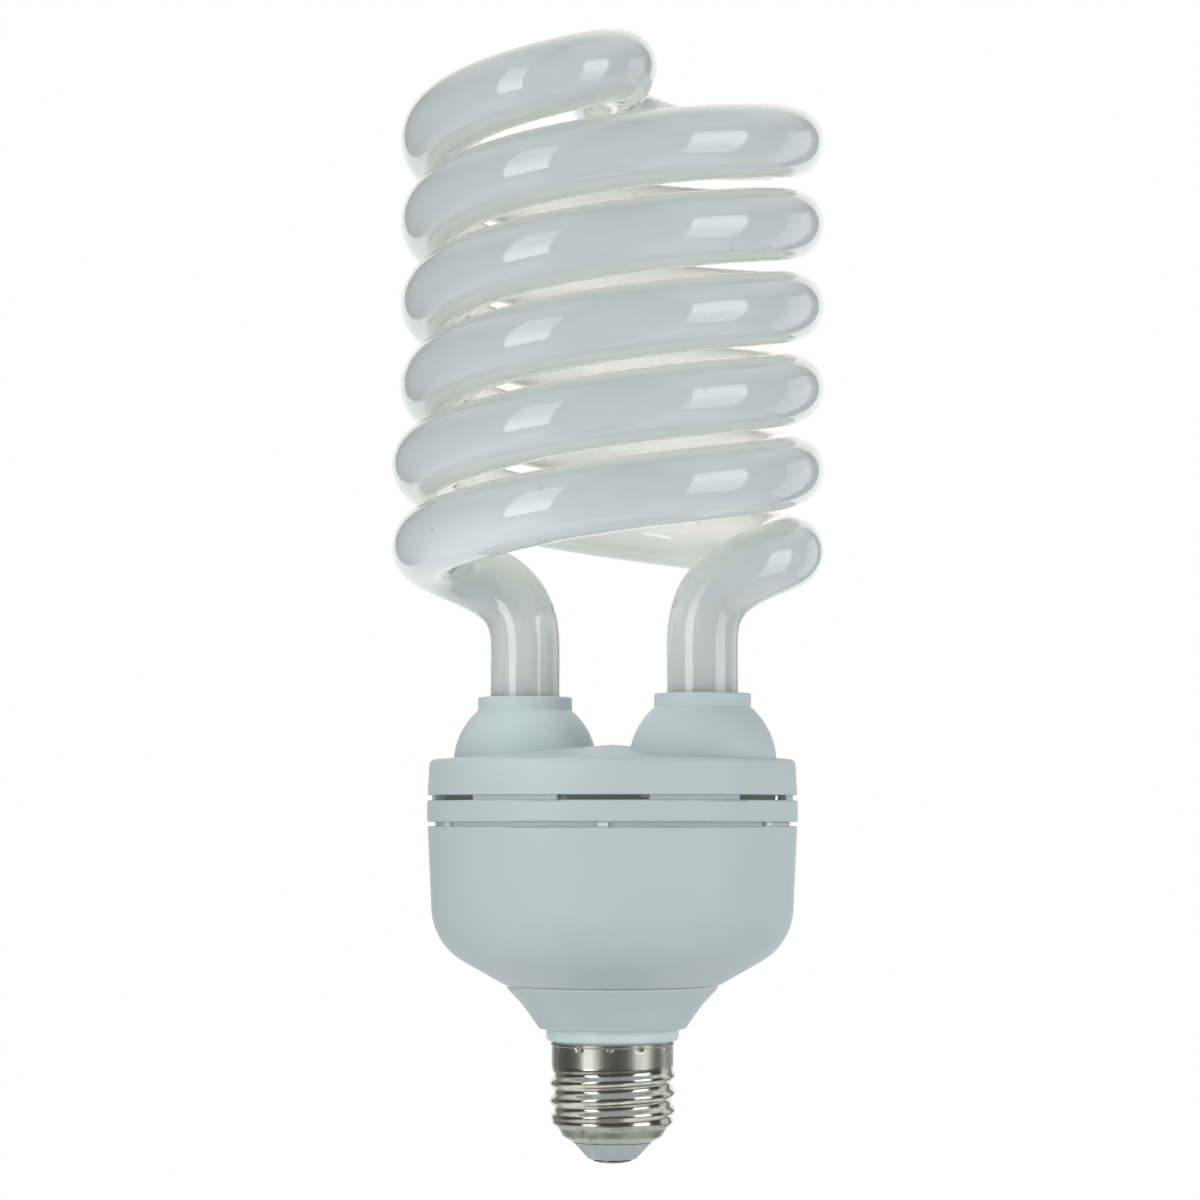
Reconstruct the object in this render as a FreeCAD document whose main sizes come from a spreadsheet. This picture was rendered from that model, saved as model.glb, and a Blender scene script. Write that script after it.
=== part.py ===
import FreeCAD, Part
import math
import operator
import os
import Sketcher
from FreeCAD import Rotation, Vector

# Spiral energy saving lamp with a medium Edison screw base.
# +Z runs up the lamp's axis from the tip of the centre contact, and the tube's two legs stand on X.
# Sizes are in millimetres and degrees.
SIZES = {
    # Glass tube: two legs, each wound up a right-hand helix, joined by a bridge at the top
    "tube_radius": 7.375,
    "coil_radius": 36.6,
    "coil_pitch": 33.86,
    "coil_turns": 2.653,
    "coil_start_angle": 37.1,
    "coil_lift": 17.2,
    "leg_count": 2,
    "leg_seat": 3.8,
    "leg_length": 30.0,
    "foot_bend_rise": 13.2,
    "foot_bend_reach": 20.5,
    "bridge_rise": 8.3,
    "bridge_angle": 140.6,
    "bridge_reach": 16.2,
    "bridge_span": 21.4,
    "arcs_per_turn": 10,
    "arcs_per_bend": 6,
    "seal_height": 3.6,
    "seal_radius": 4.2,
    "seal_shoulder": 0.5,
    # Clearances
    "slip": 0.15,
    "tube_clearance": 0.25,
    "board_clearance": 0.25,
    "hole_clearance": 0.1,
    "seat_gap": 0.05,
    # Screw base
    "contact_margin": 0.95,
    "contact_bevel": 1.55,
    "contact_thickness": 0.8,
    "rivet_radius": 1.5,
    "rivet_length": 8.0,
    "insulator_taper": 3.25,
    "insulator_height": 3.5,
    "insulator_neck_depth": 0.55,
    "insulator_flange_width": 1.6,
    "insulator_flange_lift": 1.6,
    "insulator_flange_height": 2.3,
    "shell_wall": 0.4,
    "shell_radius": 12.62,
    "shell_lip_height": 4.2,
    "lip_waist_depth": 1.47,
    "lip_waist_height": 2.95,
    "lip_edge_depth": 0.85,
    "lip_edge_height": 1.25,
    "lip_flat_width": 2.15,
    "lip_round": 0.9,
    "thread_depth": 0.95,
    "thread_pitch": 3.629,
    "thread_length": 11.4,
    "thread_start_angle": 138.0,
    "thread_sections_per_turn": 10,
    "band_length": 5.0,
    "rim_flare": 0.15,
    "rim_height": 0.7,
    # Neck
    "rim_gap": 0.4,
    "spigot_clearance": 0.195,
    "spigot_end_length": 7.2,
    "spigot_wall": 1.35,
    "collar_width": 1.18,
    "collar_height": 2.55,
    "collar_round": 0.9,
    "neck_foot_width": 1.4,
    "neck_foot_round": 0.7,
    "neck_waist_depth": 4.0,
    "neck_waist_height": 4.65,
    "neck_flare_round": 24.0,
    "neck_radius": 22.4,
    "neck_cone_height": 8.95,
    "neck_wall": 1.8,
    "neck_snap": 0.55,
    "edge_round": 0.4,
    # Bowl
    "seam_gap": 0.2,
    "seam_step": 0.1,
    "bowl_seat_width": 2.8,
    "bowl_floor": 2.2,
    "bowl_height": 32.8,
    "bowl_rim_radius": 38.3,
    "bowl_wall": 2.6,
    "bowl_draft": 1.1,
    "shoulder_height": 8.4,
    "shoulder_round": 13.0,
    "shoulder_floor_rise": 1.0,
    "bowl_rim_wall": 2.1,
    "ledge_depth": 7.4,
    "ledge_width": 0.9,
    # Vent ring
    "groove_width": 0.85,
    "ring_overhang": 0.1,
    "ring_height": 4.45,
    "ring_wall": 2.8,
    "ring_spigot_wall": 1.65,
    "ring_step": 0.8,
    "ring_seat_width": 0.85,
    "vent_count": 6,
    "vent_angle": 28.6,
    "vent_height": 1.1,
    "vent_recess": 1.0,
    "tab_angle": 3.0,
    "tab_length": 1.75,
    "snap_height": 0.35,
    "snap_bead": 0.5,
    "snap_lead_in": 0.25,
    "snap_drop": 2.7,
    # Cover
    "skirt_height": 7.3,
    "cover_step": 0.1,
    "cover_draft": 0.4,
    "cover_edge_round": 1.2,
    "cover_wall": 2.0,
    "crown_rise": 3.2,
    "dome_margin": 1.3,
    "dome_radius": 15.1,
    "dome_drop": 0.8,
    "dome_wall": 2.6,
    "dome_rim_radius": 9.9,
    "dome_rim_height": 2.8,
    "hook_wall": 1.5,
    "hook_angle": 24.0,
    "hook_end_gap": 0.3,
    "hook_root": 0.5,
    "cement_height": 6.0,
    "cement_radius": 11.0,
    # Ballast board and its leads
    "board_thickness": 1.6,
    "lead_radius": 0.4,
    "lead_tail": 1.2,
    "lead_root": 0.6,
    "stand_off": 0.4,
    "pin_side": 1.0,
    "pin_height": 7.0,
    "pin_offset": 27.5,
    "pin_spread": 4.0,
    "wrap_height": 1.75,
    "wire_radius": 0.8,
    "wire_jog": 2.4,
    "filament_wire_radius": 0.3,
    "filament_wire_spread": 2.2,
    # Electrolytic capacitors
    "capacitor_radius": 7.5,
    "capacitor_length": 21.0,
    "capacitor_gap": 0.8,
    "capacitor_lead_pitch": 7.5,
    "capacitor_groove": 0.6,
    "capacitor_groove_drop": 2.6,
    "capacitor_edge_round": 0.8,
    # Resonant choke
    "choke_gap": 1.2,
    "core_width": 20.0,
    "core_height": 13.5,
    "core_depth": 5.7,
    "core_window": 4.3,
    "core_yoke": 3.2,
    "bobbin_wall": 0.8,
    "bobbin_flange": 1.0,
    "bobbin_flange_side": 13.4,
    "bobbin_clearance": 0.15,
    "bobbin_base_width": 18.0,
    "bobbin_base_depth": 14.0,
    "bobbin_base_height": 2.0,
    "winding_side": 12.4,
    "winding_round": 1.6,
    # Drive transformer
    "toroid_radius": 4.5,
    "toroid_bore_radius": 2.5,
    "toroid_height": 5.0,
    "toroid_x": 17.5,
    "toroid_y": 15.5,
    "toroid_winding": 0.6,
    "toroid_winding_count": 3,
    "toroid_winding_angle": 50.0,
    "winding_wire_radius": 0.2,
    # Transistors
    "transistor_width": 10.0,
    "transistor_depth": 4.4,
    "transistor_height": 8.5,
    "transistor_tab_height": 5.2,
    "transistor_tab_thickness": 1.3,
    "transistor_tab_hole_radius": 1.8,
    "transistor_leg_height": 3.0,
    "transistor_lead_pitch": 2.54,
    "transistor_x": 7.2,
    "transistor_y": -17.0,
    # Film capacitors
    "film_round": 0.8,
    "resonant_length": 15.0,
    "resonant_depth": 6.5,
    "resonant_height": 12.0,
    "resonant_x": 22.0,
    "resonant_y": -1.5,
    "box_length": 12.0,
    "box_depth": 5.5,
    "box_height": 11.0,
    "box_x": -21.5,
    "blocking_y": 6.5,
    "filter_y": -6.5,
    # Drum choke of the mains filter
    "drum_radius": 4.2,
    "drum_waist_radius": 2.1,
    "drum_height": 11.0,
    "drum_flange": 1.6,
    "drum_winding_radius": 3.8,
    "drum_x": 17.5,
    "drum_y": -16.0,
    "drum_lead_pitch": 5.0,
    # Small parts
    "thermistor_radius": 3.5,
    "thermistor_thickness": 4.0,
    "thermistor_x": -15.5,
    "thermistor_y": 17.0,
    "diode_radius": 1.35,
    "diode_length": 5.2,
    "diode_span": 9.0,
    "diode_spacing": 3.0,
    "diode_x": 6.5,
    "diode_y": -25.4,
    "resistor_radius": 1.2,
    "resistor_length": 6.3,
    "resistor_span": 8.2,
    "resistor_x": 7.0,
    "resistor_y": 25.6,
    "resistor_spacing": 3.0,
    "resistor_pair_x": -15.0,
    "resistor_pair_y": -17.5,
    "diac_radius": 0.95,
    "diac_length": 4.0,
    "diac_span": 7.0,
    "diac_y": -20.0,
    "fuse_radius": 2.1,
    "fuse_length": 11.0,
    "fuse_y": -11.8,
    "fuse_lead_pitch": 3.0,
    "mains_wire_y": 6.5,
}

doc = FreeCAD.newDocument("SpiralLamp")
sheet = doc.addObject("Spreadsheet::Sheet", "Sizes")
for row, (alias, number) in enumerate(SIZES.items(), start=1):
    sheet.set(f"A{row}", alias)
    sheet.set(f"B{row}", str(number))
    sheet.setAlias(f"B{row}", alias)
doc.recompute()


# Lengths that are a formula of the sheet's cells and also its value
class Size:
    def __init__(self, text, value):
        self.text = text
        self.value = value

    def __add__(self, other):
        return combine(self, "+", other)

    def __radd__(self, other):
        return combine(other, "+", self)

    def __sub__(self, other):
        return combine(self, "-", other)

    def __rsub__(self, other):
        return combine(other, "-", self)

    def __mul__(self, other):
        return combine(self, "*", other)

    def __truediv__(self, other):
        return combine(self, "/", other)

    def __neg__(self):
        return combine(0, "-", self)


SIGNS = {"+": operator.add, "-": operator.sub, "*": operator.mul, "/": operator.truediv}


def as_size(item):
    return item if isinstance(item, Size) else Size(f"{float(item):.6f}", float(item))


def combine(left, sign, right):
    first = as_size(left)
    second = as_size(right)
    return Size(f"({first.text} {sign} {second.text})", SIGNS[sign](first.value, second.value))


def root(size):
    return Size(f"sqrt({size.text})", math.sqrt(size.value))


class Cells:
    def __getattr__(self, name):
        return Size(f"Sizes.{name}", float(SIZES[name]))


cell = Cells()
PARTS = []
UP = Vector(0, 0, 1)
SIDES = (1, -1)


def bind(item, prop, size):
    item.setExpression(prop, as_size(size).text)


def keep(item, label):
    item.Label = label
    PARTS.append(item)
    return item


# Sketches and the features made from them
def origin(body, role):
    return next(item for item in body.Origin.OriginFeatures if item.Role == role)


def pin_point(sketch, geometry, position, across, up):
    for kind, size, axis in (("DistanceX", as_size(across), -2), ("DistanceY", as_size(up), -1)):
        if size.value == 0:
            sketch.addConstraint(Sketcher.Constraint("PointOnObject", geometry, position, axis))
            continue
        rule = Sketcher.Constraint(kind, -1, 1, geometry, position, size.value)
        bind(sketch, f"Constraints[{sketch.addConstraint(rule)}]", size)


def arc_between(start, end, radius):
    chord = end - start
    side = Vector(-chord.y, chord.x, 0).normalize()
    sagitta = radius - math.sqrt(radius ** 2 - chord.Length ** 2 / 4)
    return Part.ArcOfCircle(start, (start + end) * 0.5 - side * sagitta, end)


def draw_outline(sketch, corners, arcs):
    # A corner is (across, up) or (across, up, rounding), and arcs gives the radius of the edges that bulge
    count = len(corners)
    points = [Vector(as_size(item[0]).value, as_size(item[1]).value, 0) for item in corners]
    arrive = list(points)
    leave = list(points)
    middle = {}
    for index, item in enumerate(corners):
        if len(item) < 3:
            continue
        back = (points[index - 1] - points[index]).normalize()
        ahead = (points[(index + 1) % count] - points[index]).normalize()
        half = back.getAngle(ahead) / 2
        arrive[index] = points[index] + back * (item[2].value / math.tan(half))
        leave[index] = points[index] + ahead * (item[2].value / math.tan(half))
        inward = (back + ahead).normalize()
        middle[index] = points[index] + inward * (item[2].value / math.sin(half) - item[2].value)
    edges = []
    ends = []
    for index in range(count):
        start = leave[index]
        end = arrive[(index + 1) % count]
        if index in arcs:
            edge = sketch.addGeometry(arc_between(start, end, arcs[index].value))
            bind(sketch, f"Constraints[{add_radius(sketch, edge, arcs[index])}]", arcs[index])
        else:
            edge = sketch.addGeometry(Part.LineSegment(start, end))
        edges.append(edge)
        ends.append(end_positions(sketch, edge, start))
    for index, item in enumerate(corners):
        before = edges[index - 1]
        after = edges[index]
        before_end = ends[index - 1][1]
        after_start = ends[index][0]
        if index not in middle:
            sketch.addConstraint(Sketcher.Constraint("Coincident", before, before_end, after, after_start))
            pin_point(sketch, after, after_start, item[0], item[1])
            continue
        bend = sketch.addGeometry(Part.ArcOfCircle(arrive[index], middle[index], leave[index]))
        bend_start, bend_end = end_positions(sketch, bend, arrive[index])
        sketch.addConstraint(Sketcher.Constraint("Tangent", before, before_end, bend, bend_start))
        sketch.addConstraint(Sketcher.Constraint("Tangent", bend, bend_end, after, after_start))
        bind(sketch, f"Constraints[{add_radius(sketch, bend, item[2])}]", item[2])
        corner = sketch.addGeometry(Part.Point(points[index]), True)
        sketch.addConstraint(Sketcher.Constraint("PointOnObject", corner, 1, before))
        sketch.addConstraint(Sketcher.Constraint("PointOnObject", corner, 1, after))
        pin_point(sketch, corner, 1, item[0], item[1])


def add_radius(sketch, edge, radius):
    return sketch.addConstraint(Sketcher.Constraint("Radius", edge, radius.value))


def end_positions(sketch, edge, start):
    first = sketch.getPoint(edge, 1).distanceToPoint(start)
    second = sketch.getPoint(edge, 2).distanceToPoint(start)
    return (1, 2) if first < second else (2, 1)


def revolve(body, name, corners, arcs=None, cut=False, offset=None, angle=None):
    sketch = body.newObject("Sketcher::SketchObject", f"{name}_outline")
    sketch.AttachmentSupport = [(origin(body, "XZ_Plane"), "")]
    sketch.MapMode = "FlatFace"
    if offset is not None:
        bind(sketch, "AttachmentOffset.Base.x", offset)
    draw_outline(sketch, corners, arcs or {})
    feature = body.newObject("PartDesign::Groove" if cut else "PartDesign::Revolution", name)
    feature.Profile = sketch
    feature.ReferenceAxis = (sketch, ["V_Axis"])
    feature.Angle = 360
    if angle is not None:
        feature.Midplane = True
        bind(feature, "Angle", angle)
    body.Tip = feature
    return feature


def repeat(body, feature, count):
    pattern = body.newObject("PartDesign::PolarPattern", f"{feature.Name}_pattern")
    pattern.Originals = [feature]
    pattern.Axis = (origin(body, "Z_Axis"), [""])
    pattern.Angle = 360
    bind(pattern, "Occurrences", count)
    body.Tip = pattern


def new_body(label):
    return keep(doc.addObject("PartDesign::Body", label), label)


def turned_piece(label, corners, arcs=None):
    body = new_body(label)
    revolve(body, f"{label}_turn", corners, arcs)
    return body


# Part primitives
def place(item, x, y, z):
    bind(item, "Placement.Base.x", x)
    bind(item, "Placement.Base.y", y)
    bind(item, "Placement.Base.z", z)


def block(name, length, width, height, x, y, z, rounding=None):
    # Centred on x and y, standing on z, with its upright edges rounded if asked
    box = doc.addObject("Part::Box", name)
    bind(box, "Length", length)
    bind(box, "Width", width)
    bind(box, "Height", height)
    place(box, x - length / 2, y - width / 2, z)
    if rounding is None:
        return box
    doc.recompute()
    upright = [
        number
        for number, edge in enumerate(box.Shape.Edges, start=1)
        if edge.BoundBox.ZLength > rounding.value
    ]
    rounded = doc.addObject("Part::Fillet", f"{name}_rounded")
    rounded.Base = box
    rounded.Edges = [(number, rounding.value, rounding.value) for number in upright]
    return rounded


def rod(name, radius, height, x, y, z, axis=None):
    # Stands on z, or runs along the given axis from x, y, z
    cylinder = doc.addObject("Part::Cylinder", name)
    bind(cylinder, "Radius", radius)
    bind(cylinder, "Height", height)
    if axis is not None:
        cylinder.Placement = FreeCAD.Placement(Vector(), Rotation(UP, axis))
    place(cylinder, x, y, z)
    return cylinder


def fuse(name, items):
    joined = doc.addObject("Part::MultiFuse", name)
    joined.Shapes = items
    joined.Refine = True
    return joined


def cut(name, base, tool):
    cutting = doc.addObject("Part::Cut", name)
    cutting.Base = base
    cutting.Tool = tool
    return cutting


def group(label, items):
    together = doc.addObject("Part::Compound", label)
    together.Links = items
    return keep(together, label)


# Tubes along straight runs and tangent arcs
def tangent_path(points):
    edges = []
    reached = points[0]
    last = len(points) - 2
    for index in range(1, len(points) - 1):
        back = points[index - 1] - points[index]
        ahead = points[index + 1] - points[index]
        room_back = back.Length if index == 1 else back.Length / 2
        room_ahead = ahead.Length if index == last else ahead.Length / 2
        trim = min(room_back, room_ahead)
        back.normalize()
        ahead.normalize()
        half = back.getAngle(ahead) / 2
        start = points[index] + back * trim
        end = points[index] + ahead * trim
        inward = (back + ahead).normalize()
        middle = points[index] + inward * (trim / math.cos(half) - trim * math.tan(half))
        if start.distanceToPoint(reached) > Part.Precision.confusion():
            edges.append(Part.LineSegment(reached, start).toShape())
        edges.append(Part.Arc(start, middle, end).toShape())
        reached = end
    if points[-1].distanceToPoint(reached) > Part.Precision.confusion():
        edges.append(Part.LineSegment(reached, points[-1]).toShape())
    return Part.Wire(edges)


def tube(name, points, radius):
    path = doc.addObject("Part::Feature", f"{name}_path")
    path.Shape = tangent_path(points)
    section = doc.addObject("Part::Circle", f"{name}_section")
    bind(section, "Radius", radius)
    section.Placement = FreeCAD.Placement(points[0], Rotation(UP, points[1] - points[0]))
    sweep = doc.addObject("Part::Sweep", name)
    sweep.Sections = [section]
    sweep.Spine = (path, [])
    sweep.Solid = True
    sweep.Frenet = False
    return sweep


# Radii out from the axis, each from the piece that it fits
shell_bore = cell.shell_radius - cell.shell_wall
lip_waist_radius = cell.shell_radius - cell.lip_waist_depth
lip_edge_radius = lip_waist_radius - cell.lip_edge_depth
insulator_radius = lip_edge_radius - cell.lip_flat_width
insulator_neck_radius = insulator_radius - cell.insulator_neck_depth
insulator_tip_radius = insulator_radius - cell.insulator_taper
contact_radius = insulator_tip_radius - cell.contact_margin
spigot_end_radius = shell_bore - cell.thread_depth / 2 - cell.spigot_clearance
neck_bore_radius = spigot_end_radius - cell.spigot_wall
collar_radius = cell.shell_radius + cell.collar_width
bowl_hole_radius = cell.neck_radius - cell.bowl_seat_width
shoulder_radius = cell.bowl_rim_radius - cell.bowl_draft
bore_radius = cell.bowl_rim_radius - cell.bowl_rim_wall
ring_radius = cell.bowl_rim_radius + cell.ring_overhang
ring_bore_radius = ring_radius - cell.ring_wall
cover_radius = ring_radius - cell.cover_step
cover_edge_radius = cover_radius - cell.cover_draft
leg_offset = cover_radius - cell.dome_margin - cell.dome_radius

# Heights up the lamp, each from the one below
insulator_foot = cell.contact_thickness
shell_foot = insulator_foot + cell.insulator_height
thread_foot = shell_foot + cell.shell_lip_height
band_foot = thread_foot + cell.thread_length
shell_top = band_foot + cell.band_length
collar_foot = shell_top + cell.rim_gap
neck_foot = collar_foot + cell.collar_height
neck_top = neck_foot + cell.neck_cone_height
bowl_foot = neck_top + cell.seam_gap
bowl_rim = bowl_foot + cell.bowl_height
ring_foot = bowl_rim + cell.groove_width
vent_floor = ring_foot + cell.ring_height
cover_foot = vent_floor + cell.vent_height
cover_edge = cover_foot + cell.skirt_height
crown = cover_edge + cell.crown_rise
dome_centre = cover_edge - cell.dome_drop
dome_rise = root(cell.dome_radius * cell.dome_radius - cell.dome_rim_radius * cell.dome_rim_radius)
rim_foot = dome_centre + dome_rise
rim_top = rim_foot + cell.dome_rim_height
board_foot = bowl_rim - cell.ledge_depth
board_top = board_foot + cell.board_thickness
tube_foot = cover_foot + cell.leg_seat


# Screw base
def centre_contact():
    rivet_top = cell.contact_thickness + cell.rivet_length
    turned_piece("centre_contact", [
        (0, 0),
        (contact_radius - cell.contact_bevel, 0),
        (contact_radius, cell.contact_thickness / 2),
        (contact_radius, cell.contact_thickness),
        (cell.rivet_radius, cell.contact_thickness),
        (cell.rivet_radius, rivet_top),
        (0, rivet_top),
    ])


def base_insulator():
    bore = cell.rivet_radius + cell.hole_clearance
    flange_foot = shell_foot + cell.insulator_flange_lift
    flange_top = flange_foot + cell.insulator_flange_height
    flange_radius = insulator_neck_radius + cell.insulator_flange_width
    turned_piece("base_insulator", [
        (bore, insulator_foot),
        (insulator_tip_radius, insulator_foot, cell.edge_round),
        (insulator_radius, shell_foot),
        (insulator_neck_radius, shell_foot),
        (insulator_neck_radius, flange_foot),
        (flange_radius, flange_foot),
        (flange_radius, flange_top),
        (bore, flange_top),
    ])


def thread_core(name, radius):
    # A rolled thread: round sections off the axis, whose offset turns with height and fades at both ends
    turns = SIZES["thread_length"] / SIZES["thread_pitch"]
    last = round(turns * SIZES["thread_sections_per_turn"])
    fade = SIZES["thread_sections_per_turn"] / 2
    sections = []
    for index in range(last + 1):
        reach = cell.thread_depth / 2 * min(1, index / fade, (last - index) / fade)
        turn = math.radians(SIZES["thread_start_angle"]) + 2 * math.pi * turns * index / last
        section = doc.addObject("Part::Circle", f"{name}_section")
        bind(section, "Radius", radius)
        level = thread_foot + cell.thread_length * (index / last)
        place(section, reach * math.cos(turn), reach * math.sin(turn), level)
        sections.append(section)
    loft = doc.addObject("Part::Loft", name)
    loft.Sections = sections
    loft.Solid = True
    return loft


def screw_shell():
    wall = cell.shell_wall
    hole = insulator_neck_radius + cell.slip
    lip = doc.addObject("PartDesign::Body", "shell_lip")
    revolve(lip, "shell_lip_turn", [
        (hole, shell_foot + cell.seat_gap),
        (insulator_radius, shell_foot + cell.seat_gap),
        (lip_edge_radius, shell_foot + cell.lip_edge_height, cell.lip_round),
        (lip_waist_radius, shell_foot + cell.lip_waist_height),
        (cell.shell_radius, thread_foot),
        (shell_bore, thread_foot),
        (lip_waist_radius - wall, shell_foot + cell.lip_waist_height + wall),
        (lip_edge_radius - wall, shell_foot + cell.lip_edge_height + wall, cell.lip_round - wall),
        (hole, shell_foot + cell.seat_gap + wall),
    ])
    outside = thread_core("thread_outside", cell.shell_radius)
    thread = cut("shell_thread", outside, thread_core("thread_inside", shell_bore))
    flare = cell.shell_radius + cell.rim_flare
    band = doc.addObject("PartDesign::Body", "shell_band")
    revolve(band, "shell_band_turn", [
        (shell_bore, band_foot),
        (cell.shell_radius, band_foot),
        (cell.shell_radius, shell_top - cell.rim_height),
        (flare, shell_top - cell.rim_height + cell.rim_flare),
        (flare, shell_top),
        (shell_bore, shell_top),
    ])
    keep(fuse("screw_shell", [lip, thread, band]), "screw_shell")


# Housing
def neck_adapter():
    spigot = shell_bore - cell.hole_clearance
    snap_foot = bowl_foot + cell.bowl_floor + cell.slip
    socket = bowl_hole_radius - cell.slip
    snap = socket + cell.neck_snap
    neck_bore = bowl_hole_radius - cell.neck_wall
    waist_radius = cell.neck_radius - cell.neck_waist_depth
    turned_piece("neck_adapter", [
        (neck_bore_radius, band_foot - cell.spigot_end_length),
        (spigot_end_radius, band_foot - cell.spigot_end_length),
        (spigot_end_radius, band_foot + cell.slip),
        (spigot, band_foot + cell.slip),
        (spigot, collar_foot),
        (collar_radius, collar_foot, cell.collar_round),
        (collar_radius, neck_foot),
        (collar_radius + cell.neck_foot_width, neck_foot, cell.neck_foot_round),
        (waist_radius, neck_foot + cell.neck_waist_height, cell.neck_flare_round),
        (cell.neck_radius, neck_top, cell.edge_round),
        (socket, neck_top),
        (socket, snap_foot),
        (snap, snap_foot + cell.neck_snap / 2),
        (snap, snap_foot + cell.neck_snap),
        (socket, snap_foot + cell.neck_snap * 2),
        (neck_bore, snap_foot + cell.neck_snap * 2),
        (neck_bore, neck_top),
        (neck_bore_radius, neck_foot),
    ])


def ballast_housing():
    shoulder = bowl_foot + cell.shoulder_height
    ledge_radius = bore_radius - cell.ledge_width
    groove_radius = bore_radius + cell.snap_height
    groove = bowl_rim - cell.snap_drop
    groove_edge = cell.snap_bead + cell.snap_lead_in
    inner_shoulder = shoulder_radius - cell.bowl_wall
    inner_round = cell.shoulder_round - cell.bowl_wall
    turned_piece("ballast_housing", [
        (bowl_hole_radius, bowl_foot),
        (cell.neck_radius + cell.seam_step, bowl_foot, cell.edge_round),
        (shoulder_radius, shoulder, cell.shoulder_round),
        (cell.bowl_rim_radius, bowl_rim, cell.edge_round),
        (bore_radius, bowl_rim),
        (bore_radius, groove + groove_edge),
        (groove_radius, groove + cell.snap_bead),
        (groove_radius, groove - cell.snap_bead),
        (bore_radius, groove - groove_edge),
        (bore_radius, board_foot),
        (ledge_radius, board_foot),
        (inner_shoulder, shoulder + cell.shoulder_floor_rise, inner_round),
        (bowl_hole_radius, bowl_foot + cell.bowl_floor),
    ])


def vent_ring():
    spigot = bore_radius - cell.slip * 2
    spigot_bore = spigot - cell.ring_spigot_wall
    spigot_foot = board_top + cell.seat_gap
    bead = bowl_rim - cell.snap_drop
    hook_groove = vent_floor - cell.snap_drop
    groove_radius = ring_bore_radius + cell.snap_height
    groove_edge = cell.snap_bead + cell.snap_lead_in
    step = ring_foot + cell.ring_step
    seat = spigot + cell.ring_seat_width
    post = ring_radius - cell.vent_recess
    body = turned_piece("vent_ring", [
        (spigot_bore, spigot_foot),
        (spigot, spigot_foot),
        (spigot, bead - cell.snap_bead),
        (spigot + cell.snap_height, bead - cell.snap_bead / 2),
        (spigot + cell.snap_height, bead + cell.snap_bead / 2),
        (spigot, bead + cell.snap_bead),
        (spigot, bowl_rim),
        (seat, bowl_rim),
        (seat, ring_foot),
        (ring_radius, ring_foot, cell.edge_round),
        (ring_radius, vent_floor, cell.edge_round),
        (post, vent_floor),
        (post, cover_foot),
        (ring_bore_radius, cover_foot),
        (ring_bore_radius, hook_groove + groove_edge),
        (groove_radius, hook_groove + cell.snap_bead),
        (groove_radius, hook_groove - cell.snap_bead),
        (ring_bore_radius, hook_groove - groove_edge),
        (ring_bore_radius, step),
        (spigot_bore, step),
    ])
    inside = ring_bore_radius - cell.vent_height
    outside = ring_radius + cell.vent_height
    above = cover_foot + cell.vent_height
    slot = revolve(body, "vent_slot", [
        (inside, vent_floor),
        (outside, vent_floor),
        (outside, above),
        (inside, above),
    ], cut=True, angle=cell.vent_angle)
    repeat(body, slot, cell.vent_count)
    tab_root = spigot - cell.edge_round
    tab_top = ring_foot + cell.edge_round
    tab = revolve(body, "spacer_tab", [
        (tab_root, bowl_rim),
        (spigot + cell.tab_length, bowl_rim),
        (spigot + cell.tab_length, tab_top),
        (tab_root, tab_top),
    ], angle=cell.tab_angle)
    repeat(body, tab, cell.vent_count)


def top_cover():
    body = turned_piece("top_cover", [
        (0, cover_foot),
        (cover_radius, cover_foot),
        (cover_edge_radius, cover_edge, cell.cover_edge_round),
        (0, crown),
    ])
    dome = revolve(body, "dome", [
        (0, dome_centre),
        (cell.dome_radius, dome_centre),
        (cell.dome_rim_radius, rim_foot),
        (cell.dome_rim_radius, rim_top, cell.edge_round),
        (0, rim_top),
    ], arcs={1: cell.dome_radius}, offset=leg_offset)
    repeat(body, dome, cell.leg_count)
    revolve(body, "cavity", [
        (0, cover_foot - cell.cover_wall),
        (cover_radius - cell.cover_wall, cover_foot - cell.cover_wall),
        (cover_edge_radius - cell.cover_wall, cover_edge - cell.cover_wall),
        (0, crown - cell.cover_wall),
    ], cut=True)
    hollow = cell.dome_radius - cell.dome_wall
    bore = cell.tube_radius + cell.tube_clearance
    chamber = revolve(body, "dome_chamber", [
        (0, cover_foot),
        (hollow, cover_foot),
        (hollow, dome_centre),
        (bore, dome_centre + root(hollow * hollow - bore * bore)),
        (bore, rim_top + cell.cover_wall),
        (0, rim_top + cell.cover_wall),
    ], arcs={2: hollow}, cut=True, offset=leg_offset)
    repeat(body, chamber, cell.leg_count)
    hook_outside = ring_bore_radius - cell.slip
    hook_inside = hook_outside - cell.hook_wall
    hook_end = ring_foot + cell.ring_step + cell.hook_end_gap
    hook_top = cover_edge - cell.cover_wall + cell.hook_root
    bead = vent_floor - cell.snap_drop
    hook = revolve(body, "hook", [
        (hook_inside, hook_end),
        (hook_outside, hook_end),
        (hook_outside + cell.snap_height, bead),
        (hook_outside, bead + cell.snap_bead),
        (hook_outside, hook_top),
        (hook_inside, hook_top),
    ], angle=cell.hook_angle)
    repeat(body, hook, cell.vent_count)


# Glass tube
def bezier_stations(controls, spans):
    # Repeated interpolation narrows the controls to one pair, which gives the point and its heading
    stations = []
    for index in range(spans + 1):
        part = index / spans
        level = controls
        while len(level) > 2:
            level = [start + (end - start) * part for start, end in zip(level, level[1:])]
        heading = level[1] - level[0]
        stations.append((level[0] + heading * part, heading.normalize()))
    return stations


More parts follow.
